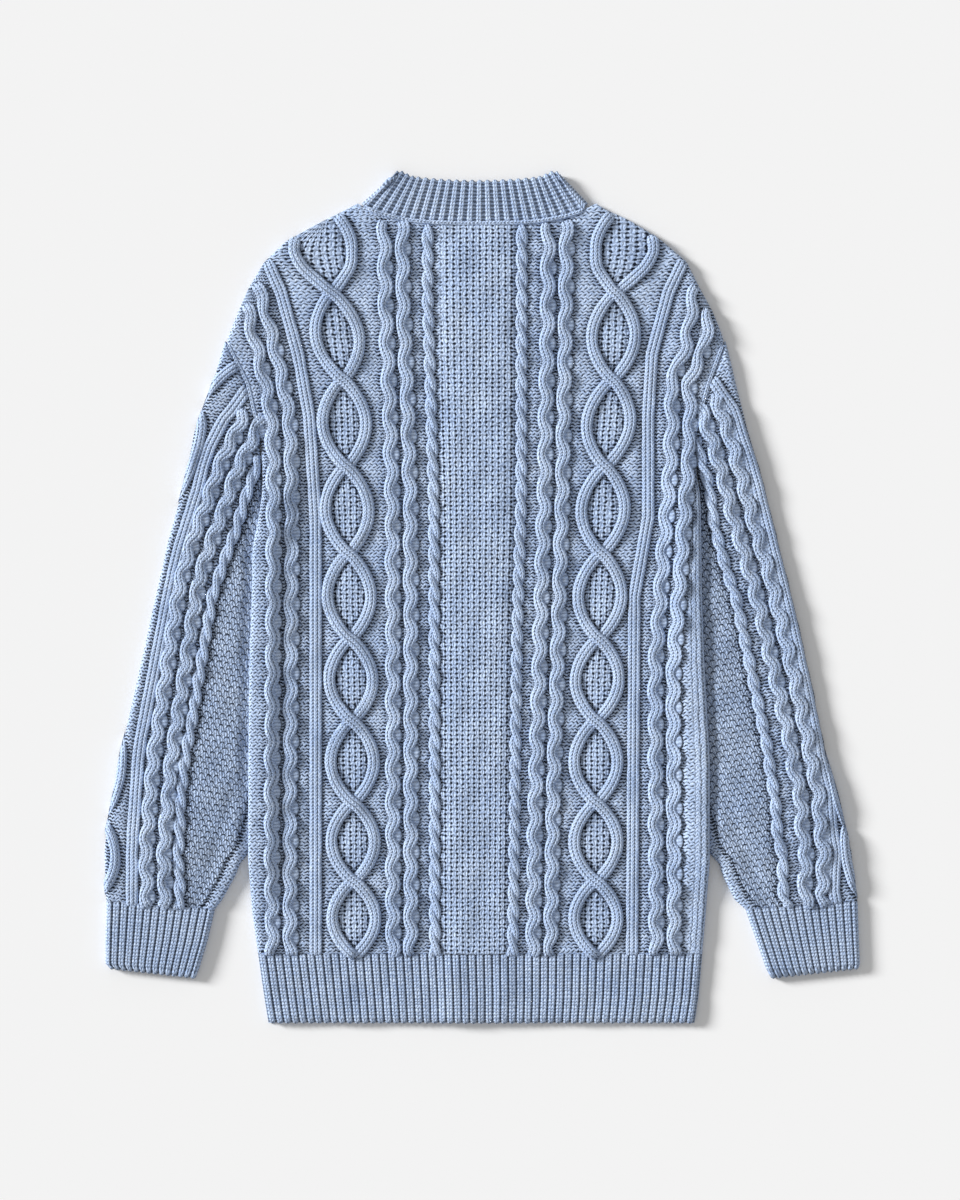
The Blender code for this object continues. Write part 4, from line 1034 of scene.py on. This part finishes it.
def sleeve_height(side, x, y):
    """Height of a sleeve's plain ground, less where the body lies on it."""
    outside = side * (x - body_edge(y, side))
    beside = smooth(share(outside, TUCK_START, TUCK_START + TUCK_REACH))
    open_share = 1.0 - read(BODY, "lift", y) * (1.0 - beside)
    to_outer = side * (read(OUTER_FOLD, side, y) - x)
    to_inner = side * (x - read(INNER_FOLD, side, y)) + 100.0 * (y > UNDERARM)
    place = np.clip(to_outer / np.maximum(to_outer + to_inner, 1.0), 0.0, 1.0)
    puff = SLEEVE_PUFF * np.sin(np.pi * share(-y, *PUFF_REACH)) * np.sin(np.pi * place)
    z = TUCKED_TOP + (SLEEVE_TOP - TUCKED_TOP + creased(x, y)) * open_share + puff
    z = z - SEAM_DIP * (1.0 - smooth(share(outside, 0.0, 5.0))) * (y > UNDERARM)
    return z * (1.0 - 0.5 * fold_drop(np.minimum(to_outer, to_inner)))


def over_sleeve(side):
    def surface(x, y):
        outer = read(OUTER_FOLD, side, y) + side * FOLD_BUMP
        x = np.minimum(x, outer) if side > 0 else np.maximum(x, outer)
        return x_y_z(x, y, sleeve_height(side, x, y))

    return surface


def centre_line(side, kind, step=1.6):
    """The middle of a band of relief down a sleeve, with even steps: x, y and length."""
    along = np.linspace(0.004, 1.006, 400)
    x, y = sleeve_place(side, along, read(SLEEVE_RELIEF[side], kind, along))
    inside = read(SLEEVE_RELIEF[side], kind, along) < 0.97
    return evenly(x[inside], y[inside], step)


def beside_line(x, y, off):
    """A line that runs a given distance to the right of one that goes down."""
    dx, dy = np.gradient(x), np.gradient(y)
    long = np.hypot(dx, dy)
    return x - off * dy / long, y + off * dx / long


def sleeve_paths(side):
    """Paths of the raised strands on a sleeve, by kind."""
    x, y, length = centre_line(side, "pair")
    swing = np.cos(TAU * length / SLEEVE_WAVE)
    waving = [(*beside_line(x, y, hand * (PAIR_REACH + PAIR_SWING * swing)), np.zeros_like(x),
               1.0 + hand * WIDTH_SWING * swing) for hand in (-1, 1)]
    ridge = level_path(*centre_line(side, "ridge")[:2])
    x, y, length = centre_line(side, "rope", 1.4)
    ropes = []
    for phase in (0.0, 0.5):
        turn = TAU * (phase - length / (2.0 * ROPE_REPEAT))
        ropes.append((*beside_line(x, y, ROPE_SWING * np.cos(turn)), ROPE_RISE * np.sin(turn) - ROPE_SET,
                      np.ones_like(x)))
    arcs = []
    for points in SLEEVE_ARCS[side]:
        x, y, _ = evenly(*np.array(points).T, 1.6)
        x, y = soften(x, 4), soften(y, 4)
        beyond = side * (x - read(OUTER_FOLD, side, y))
        sink = -ARC_SET - ARC_SINK * smooth(share(beyond, -1.0, 6.0))
        arcs.append((x, y, sink, np.full_like(x, ARC_WIDTH)))
    return {"outer_wave_cable": waving, "lattice": arcs, "ridge": [ridge], "rope": ropes}


def make_sleeve(side, paths, bends):
    name = SIDES[side]
    top_columns, around, rows = 74, 98, 236
    builder, along, number = tube(around, rows)
    on_top = number <= top_columns
    under = (number - top_columns) / (around - top_columns)
    place = np.clip(np.where(on_top, number / top_columns, 1.0 - under), 0.0, 1.0)
    x, y = sleeve_place(side, along, place)
    width = sleeve_width(side, along)
    inset = np.minimum(place, 1.0 - place) * width
    rope = read(SLEEVE_RELIEF[side], "rope", along)
    moss = share((place - rope) * width - ROPE_HALF - 1.0, 0.0, 1.5) * on_top
    strip = STRIP_WIDE * smooth(share(along, *STRIP_REACH))
    beside_strip = (1.0 - place) * width - strip
    moss = moss * share(beside_strip, -0.5, 1.0)
    # Beside the strands, and in a trough by the strip at the inner fold, the ground sinks and is painted
    # dark as shade.
    hollow_shade = hollow_and_shade_beside(x, y, paths, bends)
    trough = np.exp(-(beside_strip / 1.8) ** 2) * (strip > 1.0)
    hollow_shade = np.maximum(hollow_shade, trough) * on_top
    lean = side * SLEEVE_LEAN
    across, down = x * np.cos(lean) + y * np.sin(lean), y * np.cos(lean) - x * np.sin(lean)
    bumps = np.cos(TAU * across / SCALE_WALE) * np.cos(np.pi * down / SCALE_ROW)
    z = sleeve_height(side, x, y) + moss * (0.35 * bumps + 0.5) - HOLLOW_DEPTH * hollow_shade
    z = np.where(on_top, z, 0.25 + 1.6 * (1.0 - share(inset, 0.0, 3.0)))
    return finish_mesh("sleeve_ground_" + name, builder, x_y_z(x, y, z), sleeve_yarn,
                       (across, down), {"moss": moss, "hollow_shade": hollow_shade}, wall=1.6)


def sleeve_bends(side):
    x, y, length = centre_line(side, "pair")
    eyes, waists = beside_line(x, y, OVAL_LEFT), beside_line(x, y, OVAL_RIGHT)
    places = []
    for at in np.arange(SLEEVE_WAVE, length[-1] - 6.0, SLEEVE_WAVE):
        places.append((np.interp(at, length, eyes[0]), np.interp(at, length, eyes[1]), 0.1))
        at = at - 0.5 * SLEEVE_WAVE
        places.append((np.interp(at, length, waists[0]), np.interp(at, length, waists[1]), 0.1))
    return places


def make_cuff(side):
    name = SIDES[side]
    fine, rows = 8, 16
    top_columns = CUFF_RIBS * fine + 6
    around = 2 * top_columns
    builder, along, number = tube(around, rows)
    on_top = number <= top_columns
    step = np.where(on_top, number, around - number)
    place = step / top_columns
    x0, y0 = read(CUFF, name + "_outer", along), read(CUFF, "y_outer", along)
    x1, y1 = read(CUFF, name + "_inner", along), read(CUFF, "y_inner", along)
    inset = np.minimum(place, 1.0 - place) * np.hypot(x1 - x0, y1 - y0)
    turned = 1.0 - share(inset, 0.0, ROUND)
    ribs = (step - 3.0) / fine + 0.5
    relief = rib_relief(ribs) * smooth(share(inset, 0.0, 3.0))
    foot = share(along, 0.9, 1.0) ** 2
    top = SLEEVE_TOP * (0.5 + 0.5 * np.sqrt(1.0 - turned ** 2)) + relief - 1.2 * foot
    x, y = x0 + (x1 - x0) * place, y0 + (y1 - y0) * place
    y = y + 0.6 * foot * np.cos(TAU * ribs) + 2.0 * GAP * (1.0 - share(along, 0.0, 0.1))
    z = np.where(on_top, top, 0.2 + 1.8 * (1.0 - share(inset, 0.0, 3.0)))
    uv = (ribs, -along * 54.0)
    return finish_mesh("cuff_rib_" + name, builder, x_y_z(x, y, z), rib_yarn, uv, wall=1.5)


sleeves, on_sleeves, cuffs = {}, {}, {}
for side, name in SIDES.items():
    paths, bends = sleeve_paths(side), sleeve_bends(side)
    sleeves[side] = make_sleeve(side, paths, bends)
    on_sleeves[side] = make_strands(paths, over_sleeve(side), "sleeve_{}_" + name)
    on_sleeves[side].append(lumps("sleeve_bends_" + name, bends, OVAL, over_sleeve(side),
                                  lens_yarn))
    cuffs[side] = make_cuff(side)


# ---- collar


def fold_point(side, inset, end):
    """A point beside the collar's folded edge: end 0 is at the seam and 1 at the free edge."""
    (x0, y0), (x1, y1) = COLLAR_FOLD[side]
    length = np.hypot(x1 - x0, y1 - y0)
    return (x0 + (x1 - x0) * end - side * inset * abs(y1 - y0) / length,
            y0 + (y1 - y0) * end - inset * abs(x1 - x0) / length)


def neck_front(side, angle, end):
    """A point of the hidden front part: 0 degrees is at the fold and 90 at the band."""
    turn = np.radians(angle)
    edge = MIDDLE + side * (BAND_HALF + GAP)
    reach = abs(COLLAR_FOLD[side][0][0] - edge)
    seam = np.array([edge + side * reach * np.cos(turn),
                     FRONT_NECK_TOP - FRONT_NECK_DEPTH * np.sin(turn)])
    free = np.array([edge + side * COLLAR_FREE_REACH * np.cos(turn),
                     COLLAR_FREE_TOP - COLLAR_FREE_DEPTH * np.sin(turn)])
    return seam + (free - seam) * end


def collar_profile():
    """Columns along the collar: its point at the seam and at the free edge, how far it is turned
    over (0 is the front part, below, and 1 the back part) and the count of ribs."""
    ribs_front, ribs_fold, fine = 12, 1.5, 8
    angles = np.linspace(90.0, 20.0, ribs_front * fine)
    turns = np.linspace(0.08, 0.92, int(ribs_fold * fine))

    def side_part(side, start):
        part = [(neck_front(side, angle, 0.0), neck_front(side, angle, 1.0), 0.0,
                 ribs_fold + ribs_front * (angle - 20.0) / 70.0) for angle in angles]
        for turn in turns:
            inset = FOLD_RADIUS * (1.0 - np.sin(np.pi * turn))
            part.append((np.array(fold_point(side, inset, 0.0)),
                         np.array(fold_point(side, inset, 1.0)), turn, ribs_fold * (1.0 - turn)))
        return [(*row[:3], start + side * row[3]) for row in part]

    seam_ends = [fold_point(side, 3.6, 0.0)[0] for side in (-1, 1)]
    free_ends = [fold_point(side, 3.6, 1.0)[0] for side in (-1, 1)]
    columns = side_part(-1, 0.0)
    for part in np.linspace(0.0, 1.0, COLLAR_RIBS * fine + 1):
        x_seam = seam_ends[0] + part * (seam_ends[1] - seam_ends[0])
        x_free = np.interp(x_seam, (seam_ends[0], -66.0, 54.0, seam_ends[1]),
                           (free_ends[0], -53.0, 43.0, free_ends[1]))
        off = 2.0 * abs((x_free - free_ends[0]) / (free_ends[1] - free_ends[0]) - 0.5)
        rise = COLLAR_EDGE_RISE * off ** COLLAR_EDGE_BEND
        rise += sum(HUMP_RISE * np.exp(-((x_free - x) / HUMP_REACH) ** 2) for x in COLLAR_HUMPS)
        columns.append((np.array([x_seam, neck_seam(x_seam) + GAP]),
                        np.array([x_free, COLLAR_EDGE + rise]), 1.0, part * COLLAR_RIBS))
    return columns + side_part(1, COLLAR_RIBS)[::-1]


def make_collar():
    profile = collar_profile()
    columns, rows = len(profile) - 1, 18
    builder, u, v = cloth(columns, rows)
    number = np.rint(u * columns).astype(int)
    seam, free, turn, count = [np.array([row[i] for row in profile])[number] for i in range(4)]
    x_y = seam + (free - seam) * v[:, None]
    edge = share(v, 0.8, 1.0) ** 2
    count = count + 0.5
    relief = rib_relief(count, 0.95, 0.45, 0.11) * smooth(share(turn, 0.3, 0.6))
    off = np.minimum(abs(count - 0.5), abs(count - 0.5 - COLLAR_RIBS))
    corner = np.exp(-off / 1.6) * smooth(v)
    half = 0.5 * BACK_TOP - 0.1 + relief + CORNER_ROLL * corner * (turn > 0.5)
    z = 0.5 * BACK_TOP - half * np.cos(np.pi * turn) - 1.3 * edge * (turn > 0.5)
    z = np.maximum(z, LOWEST)
    x_y[:, 1] -= np.where(turn > 0.9, 0.8 * edge * np.cos(TAU * count), 0.0)
    uv = (count, v * 33.0)
    return finish_mesh("collar_rib", builder, x_y_z(x_y[:, 0], x_y[:, 1], z), collar_yarn, uv,
                       wall=1.9)


collar = make_collar()


# ---- the hidden front


def front_edge(y, side):
    """The inner edge of a front: its neckline above the band's head, then the band's seam."""
    edge = MIDDLE + side * (BAND_HALF + GAP)
    depth = np.clip((FRONT_NECK_TOP - y) / FRONT_NECK_DEPTH, 0.0, 1.0)
    reach = abs(COLLAR_FOLD[side][0][0] - edge)
    return edge + side * (GAP * (depth < 1.0) + reach * np.sqrt(1.0 - depth ** 2))


def front_rise(x, y, side):
    """The left front steps up beside the lap, to meet the band that lies inside it."""
    if side > 0:
        return np.zeros_like(x)
    below = share(FRONT_NECK_TOP - FRONT_NECK_DEPTH - y, 0.0, 30.0)
    return LAP_RISE * below * (1.0 - share(MIDDLE - LAP_HALF - x, 0.0, LAP_SLOPE))


def make_front(side, name, low, high, finish, ribs):
    """The underside of one front, or of its hem when ribs is more than 0."""
    columns, rows = (ribs * 6, 8) if ribs else (44, 120)
    builder, u, v = cloth(columns, rows)
    y = low + (high - low) * v
    border, inner = body_edge(y, side), front_edge(y, side)
    border = border - side * 1.4
    x = np.where(side < 0, border + (inner - border) * u, inner + (border - inner) * u)
    inset = abs(x - border)
    z = 0.15 + lift(x, y) + front_rise(x, y, side) + 1.2 * (1.0 - share(inset, 0.0, 2.5)) ** 2
    across = u * ribs if ribs else x
    return finish_mesh(name, builder, x_y_z(x, y, z), finish, (across, y), up=-1, wall=2.2)


def make_band(name, base, thick):
    columns, rows = BAND_RIBS * 6, 160
    builder, u, v = cloth(columns, rows)
    x = MIDDLE - BAND_HALF + 2.0 * BAND_HALF * u
    y = HEM_FOOT + (BAND_HEAD - HEM_FOOT) * v
    z = np.full_like(x, base) + 0.12 - 0.1 * rib_relief(u * BAND_RIBS)
    return finish_mesh(name, builder, x_y_z(x, y, z), rib_yarn, (u * BAND_RIBS, y), up=-1,
                       wall=thick)


fronts = {}
for side, name in SIDES.items():
    fronts[side] = make_front(side, "front_ground_" + name, HEM_TOP, 322.0, plain_yarn, 0)
    make_front(side, "front_hem_rib_" + name, HEM_FOOT, HEM_TOP - GAP,
                                  rib_yarn, 24)
band_left = make_band("band_rib_left", WALL + GAP, BAND_OVER)
band_right = make_band("band_rib_right", 0.0, WALL - 0.3)


# ---- buttons


def make_button_finish():
    """Dark blue pressed resin with a faint swirl."""
    finish, add, shader = new_finish("dark_blue_resin", {"Roughness": 0.35, "IOR": 1.52})
    swirl = add("ValToRGB", add("TexNoise", real_place(add), None, 0.25, 3.0, 0.5)).node
    swirl.color_ramp.elements[0].color = colour("#2C3E5C")
    swirl.color_ramp.elements[1].color = colour("#54698C")
    finish.node_tree.links.new(swirl.outputs[0], shader.inputs["Base Color"])
    return finish


def make_button(number, finish):
    """A round button with a raised rim and four small studs, face down in the outer band."""
    middle = (MIDDLE, BUTTON_LOW + BUTTON_STEP * (number - 1))
    builder = bmesh.new()
    bmesh.ops.create_circle(builder, cap_ends=True, segments=40, radius=BUTTON_RADIUS)
    face = builder.faces[:]
    walls = bmesh.ops.extrude_face_region(builder, geom=face)["geom"]
    top = [part for part in walls if isinstance(part, bmesh.types.BMVert)]
    bmesh.ops.translate(builder, vec=(0.0, 0.0, BUTTON_THICK), verts=top)
    bmesh.ops.recalc_face_normals(builder, faces=builder.faces)
    under = min(builder.faces, key=lambda part: part.calc_center_median().z)
    bmesh.ops.inset_individual(builder, faces=[under], thickness=RIM_WIDE)
    bmesh.ops.inset_individual(builder, faces=[under], thickness=DISH, depth=-DISH)
    rims = [edge for edge in builder.edges
            if min(vertex.co.to_2d().length for vertex in edge.verts) > BUTTON_RADIUS - 0.1]
    bmesh.ops.bevel(builder, geom=rims, offset=EDGE_ROUND, segments=2, affect="EDGES")
    for x, y in ((-1.0, -1.0), (1.0, -1.0), (-1.0, 1.0), (1.0, 1.0)):
        made = bmesh.ops.create_uvsphere(builder, u_segments=12, v_segments=6, radius=STUD_RADIUS)
        bmesh.ops.scale(builder, vec=(1.0, 1.0, STUD_FLAT), verts=made["verts"])
        bmesh.ops.translate(builder, vec=(x * STUD_OFF, y * STUD_OFF, DISH), verts=made["verts"])
    bmesh.ops.scale(builder, vec=(MM, MM, MM), verts=builder.verts)
    bmesh.ops.translate(builder, vec=(middle[0] * MM, middle[1] * MM, 0.0), verts=builder.verts)
    piece = add_mesh(f"button_{number}_face", builder, finish)
    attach(piece, "root")
    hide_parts(f"button_{number}")


button_finish = make_button_finish()
for number in range(1, BUTTONS + 1):
    make_button(number, button_finish)


# ---- knit pieces gathered in a list, and the imported solids they replace hidden

KNIT_PIECES = [back, *on_back, *sleeves.values(), *fronts.values()]
KNIT_PIECES += [piece for side in SIDES for piece in on_sleeves[side]]

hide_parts("back")
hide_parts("hem_back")
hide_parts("collar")
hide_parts("band_left")
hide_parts("band_right")
for side, name in SIDES.items():
    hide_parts("sleeve_" + name)
    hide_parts("cuff_" + name)
    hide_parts("front_" + name)
    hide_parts("hem_front_" + name)
